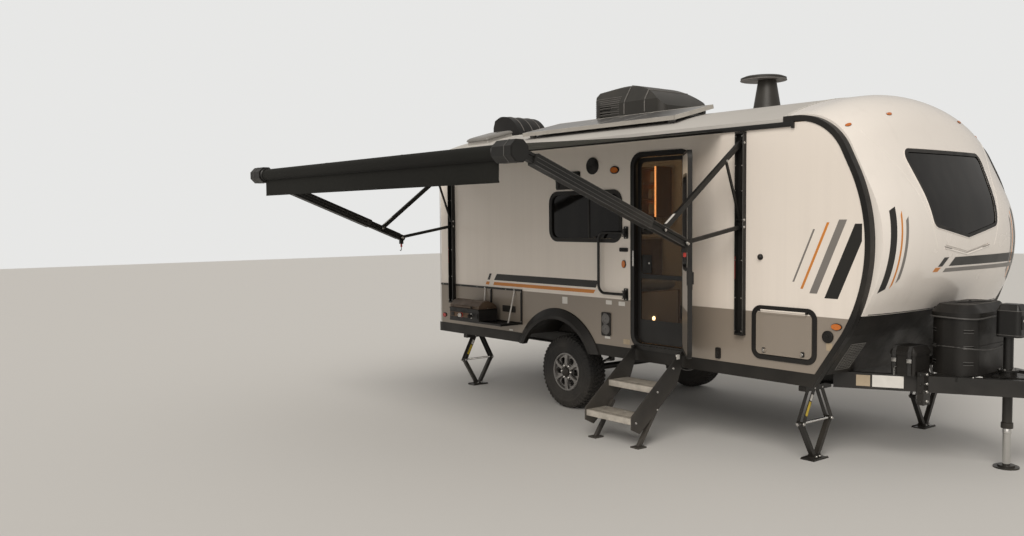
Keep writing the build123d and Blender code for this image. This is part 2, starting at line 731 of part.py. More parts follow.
SPRING_HALF = 380.0
SPRING_RISE = 105.0
LEAVES = 4
LEAF_THICK = 9.0
SPRING_LOW = HUB_Z + 32.5
with BuildPart() as leaf_springs:
    for hand in HANDS:
        with BuildSketch(side(hand * (RAIL_Y + 25))):
            for leaf in range(LEAVES):
                half = SPRING_HALF - 78 * (LEAVES - 1 - leaf)
                low = SPRING_LOW + LEAF_THICK * leaf
                high = low + LEAF_THICK + 0.5
                rise = SPRING_RISE * (half / SPRING_HALF) ** 2
                with BuildLine():
                    ThreePointArc((-half, low + rise), (0, low), (half, low + rise))
                    Line((half, low + rise), (half, high + rise))
                    ThreePointArc((half, high + rise), (0, high), (-half, high + rise))
                    Line((-half, high + rise), (-half, low + rise))
                make_face()
            for x in (-SPRING_HALF, SPRING_HALF):
                with Locations((x, 540.5)):
                    SlotOverall(98, 36, rotation=90)
            with Locations((0, SPRING_LOW + LEAVES * LEAF_THICK + 5)):
                Rectangle(110, 10)
        extrude(amount=hand * 50)
save(leaf_springs, "leaf_springs")

# Wheels and tyres
SPOKES = 6
TYRE_SECTION = (
    # distance from the middle plane, radius
    (98, RIM_RADIUS),
    (113, 235),
    (TYRE_HALF, 285),
    (107, 335),
    (86, 357),
    (60, TYRE_RADIUS),
    (-60, TYRE_RADIUS),
    (-86, 357),
    (-107, 335),
    (-TYRE_HALF, 285),
    (-113, 235),
    (-98, RIM_RADIUS),
    (-82, RIM_RADIUS),
    (-98, 238),
    (-100, 285),
    (-92, 322),
    (-72, 343),
    (72, 343),
    (92, 322),
    (100, 285),
    (98, 238),
    (82, RIM_RADIUS),
)


def tyre_face(middle, axle_z):
    """Half section of a tyre above its axle, from bead to bead."""
    with BuildSketch() as face:
        with BuildLine():
            Polyline(*[(middle + across, axle_z + radius) for across, radius in TYRE_SECTION], close=True)
        make_face()
    return face.sketch


def wheel_disc():
    """Wheel disc with windows between its spokes and a hole for the hub cap."""
    with BuildSketch() as face:
        Circle(RIM_RADIUS - 10)
        with PolarLocations(120, SPOKES):
            RectangleRounded(64, 62, 20, mode=Mode.SUBTRACT)
    return face.sketch


for hand, name in ((-1, "right"), (1, "left")):
    hub = (0, hand * WHEEL_Y, HUB_Z)
    with BuildPart(ROAD) as wheel:
        rod("Y", hub, RIM_RADIUS - 0.3, 2 * TYRE_HALF - 30)
        rod("Y", hub, RIM_RADIUS - 12, 2 * TYRE_HALF - 20, mode=Mode.SUBTRACT)
        with BuildSketch(side(hand * (WHEEL_Y + 82))):
            with Locations((0, HUB_Z)):
                add(wheel_disc())
        extrude(amount=hand * 16)
        rod("Y", (0, hand * (WHEEL_Y + 10), HUB_Z), 62, 140)
        rod("Y", (0, hand * (WHEEL_Y + 90), HUB_Z), 42, 40)
        rod("Y", (0, hand * 846, HUB_Z), 146, 76)
        rod("Y", (0, hand * 860, HUB_Z), SPINDLE + 0.4, 150, mode=Mode.SUBTRACT)
    save(wheel, "wheel_" + name)
    with BuildPart() as tyre:
        with BuildSketch(cross(0)):
            add(tyre_face(hand * WHEEL_Y, HUB_Z))
        revolve(axis=Axis((-COUPLER_X, 0, HUB_Z - COUPLER_Z), (0, 1, 0)))
    save(tyre, "tyre_" + name)

# Wheel arch flares and the housings behind them
with BuildPart() as arch_flares:
    for hand in HANDS:
        wall_y = hand * (HALF_WIDTH + 0.5)
        with BuildSketch(level(ARCH_Z)):
            with BuildLine():
                Polyline(
                    (540, wall_y),
                    (645, wall_y),
                    (640, wall_y + hand * 12),
                    (575, wall_y + hand * 45),
                    (540, wall_y + hand * 45),
                    close=True,
                )
            make_face()
        revolve(axis=Axis((-COUPLER_X, 0, ARCH_Z - COUPLER_Z), (0, 1, 0)), revolution_arc=-180)
    with Locations(ROAD.location):
        block((-700, 700), (-1300, 1300), (300, SKIRT_BOTTOM), mode=Mode.SUBTRACT)
save(arch_flares, "arch_flares")

with BuildPart() as wheel_housings:
    for hand in HANDS:
        with BuildSketch(side(hand * (HALF_WIDTH - 4))):
            with Locations((0, ARCH_Z)):
                Circle(ARCH - 1)
                Circle(ARCH - 8, mode=Mode.SUBTRACT)
            window_panel(-700, 700, 1000, RAIL_TOP + 1)
        extrude(amount=hand * 380)
        with BuildSketch(side(hand * 740)):
            with Locations((0, ARCH_Z)):
                Circle(ARCH - 1)
            window_panel(-700, 700, 1000, RAIL_TOP + 1)
        extrude(amount=hand * 7)
save(wheel_housings, "wheel_housings")

# Scissor stabilisers beside the rails: a head channel, two pairs of arms, a screw and a foot at each corner
STABILISERS = (2720.0, -1680.0)  # x of the two pairs
STABILISER_Y = 850.0
KNEE = 190.0  # reach of the side knuckles
KNEE_Z = 300.0
HEAD_Z = RAIL_BOTTOM - 24.0
with BuildPart() as stabilisers:
    for x in STABILISERS:
        for hand in HANDS:
            centre = hand * STABILISER_Y
            with Locations(ROAD.location):
                block((x - 34, x + 34), (centre - 170, centre + 170), (RAIL_BOTTOM - 40, RAIL_BOTTOM - 0.5))
                block((x - 60, x + 60), (centre - 100, centre + 100), (0, 8))
                block((x - 34, x + 34), (centre - 40, centre + 40), (0, 34))
                rod("Y", (x, centre, KNEE_Z), 9, 2 * KNEE + 60)
            for way in HANDS:
                knee = (centre + way * KNEE, KNEE_Z)
                for face in HANDS:
                    add(bar(x + face * 25, (centre + way * 50, HEAD_Z), knee, 5, 38))
                add(bar(x, knee, (centre + way * 22, 22), 40, 34))
                with Locations(ROAD.location):
                    rod("X", (x, knee[0], KNEE_Z), 15, 60)
save(stabilisers, "stabilisers")

# Rear bumper with the arm that carries the spare wheel
SPARE_Z = 1060.0
SPARE_X = -2172.0
with BuildPart(ROAD) as rear_bumper:
    block((-2200, -2100), (-1000, 1000), (590, 690))
    block((-2054, -2034), (-60, 60), (690, 1160))
    block((-2200, -2034), (-60, 60), (660, 690))
    rod("X", (-2111, 0, SPARE_Z), 40, 154)
save(rear_bumper, "rear_bumper")

with BuildPart() as spare_wheel:
    with Locations(ROAD.location):
        rod("X", (SPARE_X, 0, SPARE_Z), RIM_RADIUS - 0.3, 2 * TYRE_HALF - 30)
        rod("X", (SPARE_X, 0, SPARE_Z), RIM_RADIUS - 12, 2 * TYRE_HALF - 20, mode=Mode.SUBTRACT)
    with BuildSketch(cross(-2204)):
        with Locations((0, SPARE_Z)):
            add(wheel_disc())
    extrude(amount=16)
save(spare_wheel, "spare_wheel")

with BuildPart() as spare_tyre:
    with BuildSketch(side(0)):
        add(tyre_face(SPARE_X, SPARE_Z))
    revolve(axis=Axis((-COUPLER_X, 0, SPARE_Z - COUPLER_Z), (1, 0, 0)))
save(spare_tyre, "spare_tyre")


def roof_solid(low_x, high_x):
    """Everything under the roof's surface, to trim what stands on it."""
    with BuildPart(mode=Mode.PRIVATE) as under:
        with BuildSketch(cross(low_x)):
            with BuildLine():
                ThreePointArc((-HALF_WIDTH, EAVE + 1), (0, CROWN + 1), (HALF_WIDTH, EAVE + 1))
                Line((HALF_WIDTH, EAVE + 1), (HALF_WIDTH, 2400))
                Line((HALF_WIDTH, 2400), (-HALF_WIDTH, 2400))
                Line((-HALF_WIDTH, 2400), (-HALF_WIDTH, EAVE + 1))
            make_face()
        extrude(amount=high_x - low_x)
    return under.part


# Air conditioner: a shroud with a raked front, round shoulders and a louvred rear end
AC_X = 200.0
AC_REAR = -300.0
with BuildPart() as roof_air_conditioner:
    with BuildSketch(side(-350)):
        with BuildLine():
            Polyline((700, 2800), (AC_REAR, 2800), (AC_REAR, 3140), (-262, 3200), (-60, 3222))
            ThreePointArc((-60, 3222), (380, 3190), (690, 2990))
            Line((690, 2990), (700, 2800))
        make_face()
    extrude(amount=-700)
    with BuildSketch(cross(AC_REAR - 10)):
        with BuildLine():
            Polyline((-350, 2800), (-350, 3060), (-250, 3222), (-200, 3250), (0, 3250))
            Polyline((0, 3250), (200, 3250), (250, 3222), (350, 3060), (350, 2800), (-350, 2800))
        make_face()
    extrude(amount=1100, mode=Mode.INTERSECT)
    with BuildSketch(level(2700)):
        with Locations((AC_X, 0)):
            RectangleRounded(1000, 700, 110)
    extrude(amount=700, mode=Mode.INTERSECT)
    with Locations(ROAD.location):
        for louvre in range(6):
            z = 2925 + louvre * 34
            block((AC_REAR, AC_REAR + 30), (-240, 240), (z, z + 14), mode=Mode.SUBTRACT)
            if louvre < 4:
                for hand in HANDS:
                    block((-180, -20), (hand * 325, hand * 360), (z, z + 14), mode=Mode.SUBTRACT)
    add(roof_solid(-500, 900), mode=Mode.SUBTRACT)
save(roof_air_conditioner, "roof_air_conditioner")

# Domed cover over the rear vent, open at its rear
with BuildPart() as roof_vent_cover:
    with BuildSketch(side(-420)):
        with BuildLine():
            Polyline((-1900, 2750), (-1900, 2960), (-1870, 3040), (-1780, 3075))
            ThreePointArc((-1780, 3075), (-1560, 3030), (-1420, 2860))
            Polyline((-1420, 2860), (-1420, 2750), (-1900, 2750))
        make_face()
    extrude(amount=-430)
    add(roof_solid(-2000, -1300), mode=Mode.SUBTRACT)
save(roof_vent_cover, "roof_vent_cover")


# Small roof vent's lid, hinged along its front edge on a curb that stands on the roof
with BuildPart() as roof_vent_lid:
    with BuildSketch(on_roof(VENT[0], VENT[1], 41)):
        RectangleRounded(400, 400, 40)
    extrude(amount=40, taper=30)
save(roof_vent_lid, "roof_vent_lid")

# Solar panel on four feet
with BuildPart() as solar_panel:
    with BuildSketch(on_roof(330, -680, 30)):
        Rectangle(2080, 540)
    extrude(amount=35)
    with BuildSketch(on_roof(330, -680, 4)):
        with GridLocations(1900, 420, 2, 2):
            Rectangle(60, 40)
    extrude(amount=26)
save(solar_panel, "solar_panel")

# Antenna: a tapered stalk under a flat round head
STALK_TOP = 3140.0
with BuildPart(ROAD) as roof_antenna:
    with Locations((1640, 0, (CROWN + 1 + STALK_TOP) / 2)):
        Cone(125, 80, STALK_TOP - CROWN - 1)
    with Locations((1600, 0, STALK_TOP + 10)):
        Cylinder(205, 20)
    with Locations((1600, 0, STALK_TOP + 27)):
        Cone(205, 170, 14)
save(roof_antenna, "roof_antenna")

# Awning: wall channels with folding arms, a roller with a head at each end, and its cloth
CHANNELS = (2220.0, -1760.0)  # x of the two wall channels and their arms
CHANNEL_Z = (960.0, 2560.0)
ROLLER = (-3420.0, 2330.0)
ROLLER_RADIUS = 52.0
HEAD_RADIUS = 80.0
HEAD_LONG = 200.0
HEAD_IN = 80.0  # middle of each head inward of its channel
UPPER_STRUT = ((-1146, 2479), (-2047, 1803), 26, 40)
LOWER_STRUT = ((-1146, 1814), (-1814, 1702), 26, 30)
GAS_STRUT = ((-1322, 2331), (-1146, 1870), 14, 20)
MAIN_ARM = ((-1800, 1696), (-3390, 2318), 44, 62)
ARM_PINS = (2479.0, 1870.0, 1814.0)  # heights of the pins in each channel
ARM_PIN_Y = -1146.0
with BuildPart() as awning_arms:
    for x in CHANNELS:
        with BuildSketch(level(CHANNEL_Z[0])):
            with Locations((x, -HALF_WIDTH - 23)):
                Rectangle(80, 44)
            with Locations((x, -HALF_WIDTH - 27)):
                Rectangle(68, 40, mode=Mode.SUBTRACT)
        extrude(amount=CHANNEL_Z[1] - CHANNEL_Z[0])
        for start, end, wide, deep in (UPPER_STRUT, LOWER_STRUT, GAS_STRUT, MAIN_ARM):
            add(bar(x, start, end, wide, deep))
        for way in HANDS:
            add(bar(x + way * 20, MAIN_ARM[0], MAIN_ARM[1], 10, 26), mode=Mode.SUBTRACT)
        with Locations(ROAD.location):
            for z in ARM_PINS:
                rod("X", (x, ARM_PIN_Y, z), 7, 78)
            rod("X", (x, MAIN_ARM[0][0], MAIN_ARM[0][1]), 24, 60)
            rod("X", (x, UPPER_STRUT[1][0], UPPER_STRUT[1][1]), 13, 52)
        inner = -1 if x > 0 else 1
        with BuildSketch(cross(x + inner * HEAD_IN - HEAD_LONG / 2)):
            with Locations(ROLLER):
                RegularPolygon(HEAD_RADIUS, 8, rotation=22.5)
        extrude(amount=HEAD_LONG)
save(awning_arms, "awning_arms")

HEAD_END = HEAD_IN + HEAD_LONG / 2
ROLL_X = (CHANNELS[1] + HEAD_END + 0.5, CHANNELS[0] - HEAD_END - 0.5)
with BuildPart(ROAD) as awning_roller:
    rod("X", ((ROLL_X[0] + ROLL_X[1]) / 2, ROLLER[0], ROLLER[1]), ROLLER_RADIUS, ROLL_X[1] - ROLL_X[0])
save(awning_roller, "awning_roller")

FABRIC_X = (ROLL_X[0] + 5, ROLL_X[1] - 5)
VALANCE_Z = (2130.0, ROLLER[1] - ROLLER_RADIUS - 0.5)
with BuildPart() as awning_fabric:
    with BuildSketch(cross(FABRIC_X[0])):
        with BuildLine():
            Polyline(
                (ROLLER[0], ROLLER[1] + ROLLER_RADIUS + 0.5),
                (-1134.5, 2588),
                (-1134.5, 2592),
                (ROLLER[0], ROLLER[1] + ROLLER_RADIUS + 4.5),
                close=True,
            )
        make_face()
    extrude(amount=FABRIC_X[1] - FABRIC_X[0])
    with Locations(ROAD.location):
        block(FABRIC_X, (ROLLER[0] - 2, ROLLER[0] + 2), VALANCE_Z)
save(awning_fabric, "awning_fabric")

# Folding grab handle beside the doorway, swung flat against the wall
HANDLE_X = 945.0
HANDLE_Y = -1150.0
HANDLE_Z = (1200.0, 1760.0)
HANDLE_PIN = 6.0
with BuildPart(ROAD) as grab_handle:
    with BuildLine(side(HANDLE_Y)):
        FilletPolyline(
            (HANDLE_X, HANDLE_Z[0]),
            (HANDLE_X - 330, HANDLE_Z[0]),
            (HANDLE_X - 330, HANDLE_Z[1]),
            (HANDLE_X, HANDLE_Z[1]),
            radius=80,
        )
    handle_end = (HANDLE_X - COUPLER_X, HANDLE_Y, HANDLE_Z[0] - COUPLER_Z)
    with BuildSketch(Plane(origin=handle_end, z_dir=(-1, 0, 0))):
        Circle(12.5)
    sweep()
    for z in HANDLE_Z:
        rod("Z", (HANDLE_X, HANDLE_Y, z), 14, 50)
        rod("Z", (HANDLE_X, HANDLE_Y, z), HANDLE_PIN + 0.4, 60, mode=Mode.SUBTRACT)
save(grab_handle, "grab_handle")

# Frame on the rear of the door side with a shelf hung from it by two stays
RACK_REAR = -1990.0
RACK_FRONT = -540.0
RACK_SPLIT = (-1806.0, -1714.0)  # gap for the awning's rear channel
RACK_TOP = 1165.0
RACK_Y = (-HALF_WIDTH - 13.0, -HALF_WIDTH - 0.5)
RACK_POSTS = (-1070.0, -560.0)
SHELF_Z = 806.0
with BuildPart() as griddle_shelf:
    with Locations(ROAD.location):
        block((RACK_REAR, RACK_SPLIT[0]), RACK_Y, (RACK_TOP - 20, RACK_TOP))
        block((RACK_SPLIT[1], RACK_FRONT), RACK_Y, (RACK_TOP - 20, RACK_TOP))
        block((RACK_POSTS[0], RACK_FRONT), RACK_Y, (SHELF_Z - 6, SHELF_Z + 16))
        for x in RACK_POSTS:
            block((x, x + 20), RACK_Y, (SHELF_Z - 6, RACK_TOP))
        block((-1450, -560), (-1390, -1118), (SHELF_Z - 6, SHELF_Z + 4))
        block((-1450, -560), (-1390, -1382), (SHELF_Z - 6, SHELF_Z + 14))
    for x, low_y in ((-1161, -1160), (-660, -1214)):
        add(bar(x, (-1124, RACK_TOP - 12), (low_y, SHELF_Z + 2), 10, 10))
save(griddle_shelf, "griddle_shelf")

# Griddle on the shelf, its lid hinged along the rear
GRIDDLE_X = (-1410.0, -890.0)
GRIDDLE_Y = (-1420.0, -1176.0)
GRIDDLE_Z = (824.0, 944.0)
GRIDDLE_FEET = SHELF_Z + 4.5
LID_PIN_Y = -1158.0
LID_PIN_Z = 953.0
LID_PIN = 3.0
LID_KNUCKLES = (-1340.0, -960.0)
with BuildPart(ROAD) as griddle:
    block(GRIDDLE_X, GRIDDLE_Y, GRIDDLE_Z)
    block((-1396, -904), (-1426, -1406), (850, 905))
    for x in (-1380, -920):
        for y in (-1370, -1200):
            rod("Z", (x, y, (GRIDDLE_FEET + GRIDDLE_Z[0]) / 2), 12, GRIDDLE_Z[0] - GRIDDLE_FEET)
    for x in (-1188, -1010):
        rod("Y", (x, -1434, 876), 19, 26)
    for x in LID_KNUCKLES:
        rod("X", (x, LID_PIN_Y, LID_PIN_Z), LID_PIN, 60)
        for way in HANDS:
            block((x + way * 20, x + way * 28), (-1180, -1151), (920, 960))
save(griddle, "griddle")

LID_PROFILE = (
    # y, z of its corners
    (-1415, 950),
    (-1415, 978),
    (-1366, 1022),
    (-1300, 1034),
    (-1225, 1004),
    (-1186, 974),
    (-1186, 950),
)
with BuildPart() as griddle_lid:
    with BuildSketch(cross(GRIDDLE_X[0] + 5)):
        with BuildLine():
            Polyline(*LID_PROFILE, close=True)
        make_face()
    extrude(amount=GRIDDLE_X[1] - GRIDDLE_X[0] - 10)
    with Locations(ROAD.location):
        rod("X", ((GRIDDLE_X[0] + GRIDDLE_X[1]) / 2, -1438, 966), 8, 300)
        for x in (-1250, -1050):
            block((x - 6, x + 6), (-1436, -1410), (960, 972))
        for x in LID_KNUCKLES:
            block((x - 15, x + 15), (-1195, LID_PIN_Y), (956, 962))
            rod("X", (x, LID_PIN_Y, LID_PIN_Z), 6.5, 30)
            rod("X", (x, LID_PIN_Y, LID_PIN_Z), LID_PIN + 0.4, 70, mode=Mode.SUBTRACT)
save(griddle_lid, "griddle_lid")

# Lights: amber markers and a porch light, red tail lights and rear side markers
AMBER_LIGHTS = (
    # hand, x, z, half width, half height
    (-1, 800.0, 2330.0, 45.0, 25.0),
    (-1, 915.0, 1475.0, 20.0, 32.0),
    (-1, 3070.0, 1086.0, 40.0, 22.0),
    (1, 3070.0, 1086.0, 40.0, 22.0),
)
with BuildPart() as marker_lights:
    for hand, x, z, wide, high in AMBER_LIGHTS:
        with BuildSketch(side(hand * (HALF_WIDTH + 14))):
            with Locations((x, z)):
                Ellipse(wide, high)
        extrude(amount=hand * 13.5)
save(marker_lights, "marker_lights")
with BuildPart() as tail_lights:
    with BuildSketch(cross(REAR - 20)):
        for hand in HANDS:
            with Locations((hand * 930, 1000)):
                RectangleRounded(150, 90, 20)
    extrude(amount=19.5)
    for hand in HANDS:
        with BuildSketch(side(hand * (HALF_WIDTH + 14))):
            with Locations((-1935, 800)):
                Ellipse(30, 22)
        extrude(amount=hand * 13.5)
save(tail_lights, "tail_lights")

# Small fittings on the walls: loudspeaker, screen plate, vent, outlets, hooks, ports
FITTINGS = (
    # hand, x, z, wide, high, corner
    (-1, 510.0, 2380.0, 150.0, 150.0, 74.0),
    (-1, 170.0, 2255.0, 340.0, 170.0, 20.0),
    (-1, 915.0, 1605.0, 100.0, 36.0, 8.0),
    (-1, -756.0, 950.0, 206.0, 66.0, 8.0),
    (-1, 690.0, 910.0, 110.0, 210.0, 12.0),
    (-1, 2400.0, 1580.0, 46.0, 46.0, 22.0),
    (-1, 1990.0, 780.0, 50.0, 90.0, 10.0),
    (-1, 3000.0, 1007.0, 90.0, 90.0, 44.0),
    (1, 1000.0, 1150.0, 420.0, 300.0, 12.0),
    (1, 1000.0, 2150.0, 420.0, 180.0, 12.0),
    (1, -1300.0, 1000.0, 340.0, 340.0, 12.0),
    (1, -1720.0, 1000.0, 120.0, 120.0, 12.0),
    (1, 1900.0, 1000.0, 160.0, 160.0, 12.0),
)
with BuildPart() as wall_fittings:
    for hand, x, z, wide, high, corner in FITTINGS:
        with BuildSketch(side(hand * (HALF_WIDTH + 12))):
            with Locations((x, z)):
                RectangleRounded(wide, high, corner)
        extrude(amount=hand * 11.5)
    with Locations(ROAD.location):
        for z in HANDLE_Z:
            rod("Z", (HANDLE_X, HANDLE_Y, z), HANDLE_PIN, 74)
            block((HANDLE_X - 20, HANDLE_X + 20), (-HALF_WIDTH - 6, -HALF_WIDTH - 0.5), (z - 46, z + 46))
            for way in HANDS:
                ear = (z + way * 28, z + way * 36)
                block((HANDLE_X - 15, HANDLE_X + 15), (-1164, -HALF_WIDTH - 4), ear)
save(wall_fittings, "wall_fittings")

# Rooms: a bed over the baggage bay, a pantry and a kitchen on the far side, a dinette
with BuildPart(ROAD) as cabinets:
    block((2060, 2080), (-INNER, INNER), (FLOOR_TOP, 1230))
    block((2080, 3050), (-INNER, INNER), (1210, 1230))
    block((900, 1500), (560, INNER), (FLOOR_TOP, 2560))
    block((920, 1480), (550, 1050), (1300, 1700), mode=Mode.SUBTRACT)
    block((-1500, -600), (500, INNER), (FLOOR_TOP, 1640))
save(cabinets, "cabinets")
with BuildPart(ROAD) as mattress:
    block((2085, 3045), (-1000, 1000), (1231, 1360))
    fillet(mattress.edges().filter_by(Axis.Z), 60)
save(mattress, "mattress")
with BuildPart(ROAD) as dinette:
    block((600, 860), (-INNER, -300), (FLOOR_TOP, 1200))
    block((-860, -600), (-INNER, -300), (FLOOR_TOP, 1200))
    block((-250, 250), (-INNER, -400), (1440, 1465))
    block((-30, 30), (-680, -620), (FLOOR_TOP, 1440))
save(dinette, "dinette")
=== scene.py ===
import math
from functools import cached_property

import bmesh
import bpy
from mathutils import Matrix, Vector
from mathutils.bvhtree import BVHTree


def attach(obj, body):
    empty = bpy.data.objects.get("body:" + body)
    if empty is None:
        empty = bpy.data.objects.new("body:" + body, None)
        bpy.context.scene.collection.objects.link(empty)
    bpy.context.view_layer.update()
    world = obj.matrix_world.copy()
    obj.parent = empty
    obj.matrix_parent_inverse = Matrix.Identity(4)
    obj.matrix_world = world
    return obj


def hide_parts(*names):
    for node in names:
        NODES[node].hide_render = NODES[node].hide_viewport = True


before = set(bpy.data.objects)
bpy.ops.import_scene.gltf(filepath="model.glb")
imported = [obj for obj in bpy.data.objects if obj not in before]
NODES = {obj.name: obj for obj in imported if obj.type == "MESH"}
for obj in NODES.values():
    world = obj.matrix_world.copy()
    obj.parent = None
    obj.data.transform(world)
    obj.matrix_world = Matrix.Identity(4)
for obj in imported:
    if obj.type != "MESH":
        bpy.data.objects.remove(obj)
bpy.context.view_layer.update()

# Places are given from the middle of the axle on the road, as in the part's source.
# The frame's own origin is the hitch ball.
BALL = Vector((4.3, 0.0, 0.6))
HANDS = (-1, 1)
WALL = 1.1175
REAR = -2.0
HUB_Z = 0.365
SPARE_Z = 1.06
TAUPE_TOP = 1.15


def at(x, y, z):
    """A place measured from the axle on the road, in the frame."""
    return Vector((x, y, z)) - BALL


def show(name, data):
    """New object in the scene."""
    thing = bpy.data.objects.new(name, data)
    bpy.context.scene.collection.objects.link(thing)
    return thing


# Camera
PHOTO_WIDTH = 1024
FOCAL_PIXELS = 935.0
SENSOR = 36.0
YAW, PITCH, ROLL = 0.892956765, -0.0532751887, -0.00814790071
EYE = at(6.87783161, -7.22451932, 1.89921440)


def make_camera():
    """Camera at the photograph's place and angle."""
    look = Vector((-math.sin(YAW) * math.cos(PITCH), math.cos(YAW) * math.cos(PITCH), math.sin(PITCH)))
    right = look.cross(Vector((0, 0, 1))).normalized()
    up = right.cross(look)
    turned_right = math.cos(ROLL) * right + math.sin(ROLL) * up
    turned_up = -math.sin(ROLL) * right + math.cos(ROLL) * up
    data = bpy.data.cameras.new("camera")
    data.sensor_width = SENSOR
    data.lens = FOCAL_PIXELS * SENSOR / PHOTO_WIDTH
    camera = show("camera", data)
    rotation = Matrix((turned_right, turned_up, -look)).transposed()
    camera.matrix_world = Matrix.Translation(EYE) @ rotation.to_4x4()
    bpy.context.scene.camera = camera


make_camera()

# Materials
WHITE = (0.79, 0.725, 0.655)
TAUPE = (0.255, 0.218, 0.180)
DUST = (0.30, 0.26, 0.21)
M = {}


class Graph:
    """One procedural material, with its shader's own values given as keywords."""

    def __init__(self, name, colour, rough, metal=0.0, coat=(0.0, 0.03), specular=0.5, **values):
        self.material = M[name] = bpy.data.materials.new(name)
        self.material.use_nodes = True
        self.material.diffuse_color = (*colour, 1)
        self.tree = self.material.node_tree
        self.tree.nodes.clear()
        self.shader = self.add("BsdfPrincipled")
        self.tree.links.new(self.shader.outputs[0], self.add("OutputMaterial").inputs[0])
        self.colour = colour
        self.set("Base Color", colour).set("Roughness", rough).set("Metallic", metal)
        self.set("Coat Weight", coat[0]).set("Coat Roughness", coat[1]).set("Specular IOR Level", specular)
        for key, value in values.items():
            self.set(key.replace("_", " ").title(), value)

    @cached_property
    def position(self):
        return self.add("TexCoord").outputs["Object"]

    def join(self, value, socket):
        """Link a node's output to a socket, or set the socket's value."""
        if isinstance(value, bpy.types.NodeSocket):
            self.tree.links.new(value, socket)
        else:
            socket.default_value = (*value, 1) if socket.type == "RGBA" else value

    def set(self, socket, value):
        self.join(value, self.shader.inputs[socket])
        return self

    def add(self, kind, inputs=(), **fields):
        node = self.tree.nodes.new("ShaderNode" + kind)
        for key, value in fields.items():
            setattr(node, key, value)
        for key, value in inputs:
            self.join(value, node.inputs[key])
        return node

    def place(self, stretch):
        """Position in the frame, scaled along each axis if asked."""
        if stretch is None:
            return self.position
        return self.add("Mapping", (("Vector", self.position), ("Scale", stretch))).outputs[0]

    def axis(self, letter):
        """Distance along an axis from the middle of the axle on the road."""
        index = "XYZ".index(letter)
        return self.sum(self.add("SeparateXYZ", ((0, self.position),)).outputs[index], BALL[index])

    def math(self, kind, a, b=0.0):
        return self.add("Math", ((0, a), (1, b)), operation=kind).outputs[0]

    def sum(self, a, b):
        return self.math("ADD", a, b)

    def times(self, a, b):
        return self.math("MULTIPLY", a, b)

    def ramp(self, value, low, high, first=0.0, last=1.0):
        """Value mapped from low..high to first..last, clamped."""
        inputs = (
            ("Value", value),
            ("From Min", low),
            ("From Max", high),
            ("To Min", first),
            ("To Max", last),
        )
        return self.add("MapRange", inputs).outputs[0]

    def noise(self, scale, detail=3.0, stretch=None):
        inputs = (("Vector", self.place(stretch)), ("Scale", scale), ("Detail", detail), ("Roughness", 0.55))
        return self.add("TexNoise", inputs).outputs["Fac"]

    def cells(self, scale):
        return self.add("TexVoronoi", (("Vector", self.position), ("Scale", scale))).outputs["Distance"]

    def weave(self, scale, directions, kind="MULTIPLY"):
        """Threads in two directions."""
        inputs = (("Vector", self.position), ("Scale", scale))
        threads = [self.add("TexWave", inputs, bands_direction=way).outputs["Fac"] for way in directions]
        return self.math(kind, *threads)

    def mix(self, factor, a, b):
        return self.add("Mix", (("Factor", factor), (6, a), (7, b)), data_type="RGBA").outputs[2]

    def tint(self, factor, colour):
        """Lay another colour over the base colour where a factor is one."""
        socket = self.shader.inputs["Base Color"]
        below = socket.links[0].from_socket if socket.links else tuple(socket.default_value)[:3]
        return self.set("Base Color", self.mix(factor, below, colour))

    def veil(self, pattern, share, colour):
        """Lay a share of another colour over the base colour by a pattern."""
        return self.tint(self.times(pattern, share), colour)

    def stain(self, pattern, low, high, share, colour):
        """Lay a share of another colour where a pattern is strong."""
        return self.veil(self.ramp(pattern, low, high), share, colour)

    def mottle(self, scale, amount, detail=4.0):
        """Vary the base colour by making it darker in patches."""
        dark = tuple(c * (1 - amount) for c in self.colour)
        return self.tint(self.ramp(self.noise(scale, detail), 0.35, 0.7), dark)

    def dust(self, top, share):
        """Dust that thickens towards the road."""
        height = self.ramp(self.axis("Z"), 0.15, top, 1.0, 0.0)
        patches = self.ramp(self.noise(2.2, 4.0), 0.2, 0.95)
        return self.veil(self.times(height, patches), share, DUST)

    def gloss(self, scale, low, high):
        """Vary the roughness between two values."""
        return self.set("Roughness", self.ramp(self.noise(scale), 0.3, 0.7, low, high))

    def bump(self, height, distance, strength):
        """Raise the surface by a height field, on top of what is there."""
        inputs = [("Height", height), ("Distance", distance), ("Strength", strength)]
        inputs += [("Normal", link.from_socket) for link in self.shader.inputs["Normal"].links]
        return self.set("Normal", self.add("Bump", inputs).outputs[0])

    def grain(self, scale, detail, distance, strength):
        return self.bump(self.noise(scale, detail), distance, strength)

    def pebble(self, scale, distance, strength):
        return self.bump(self.cells(scale), distance, strength)


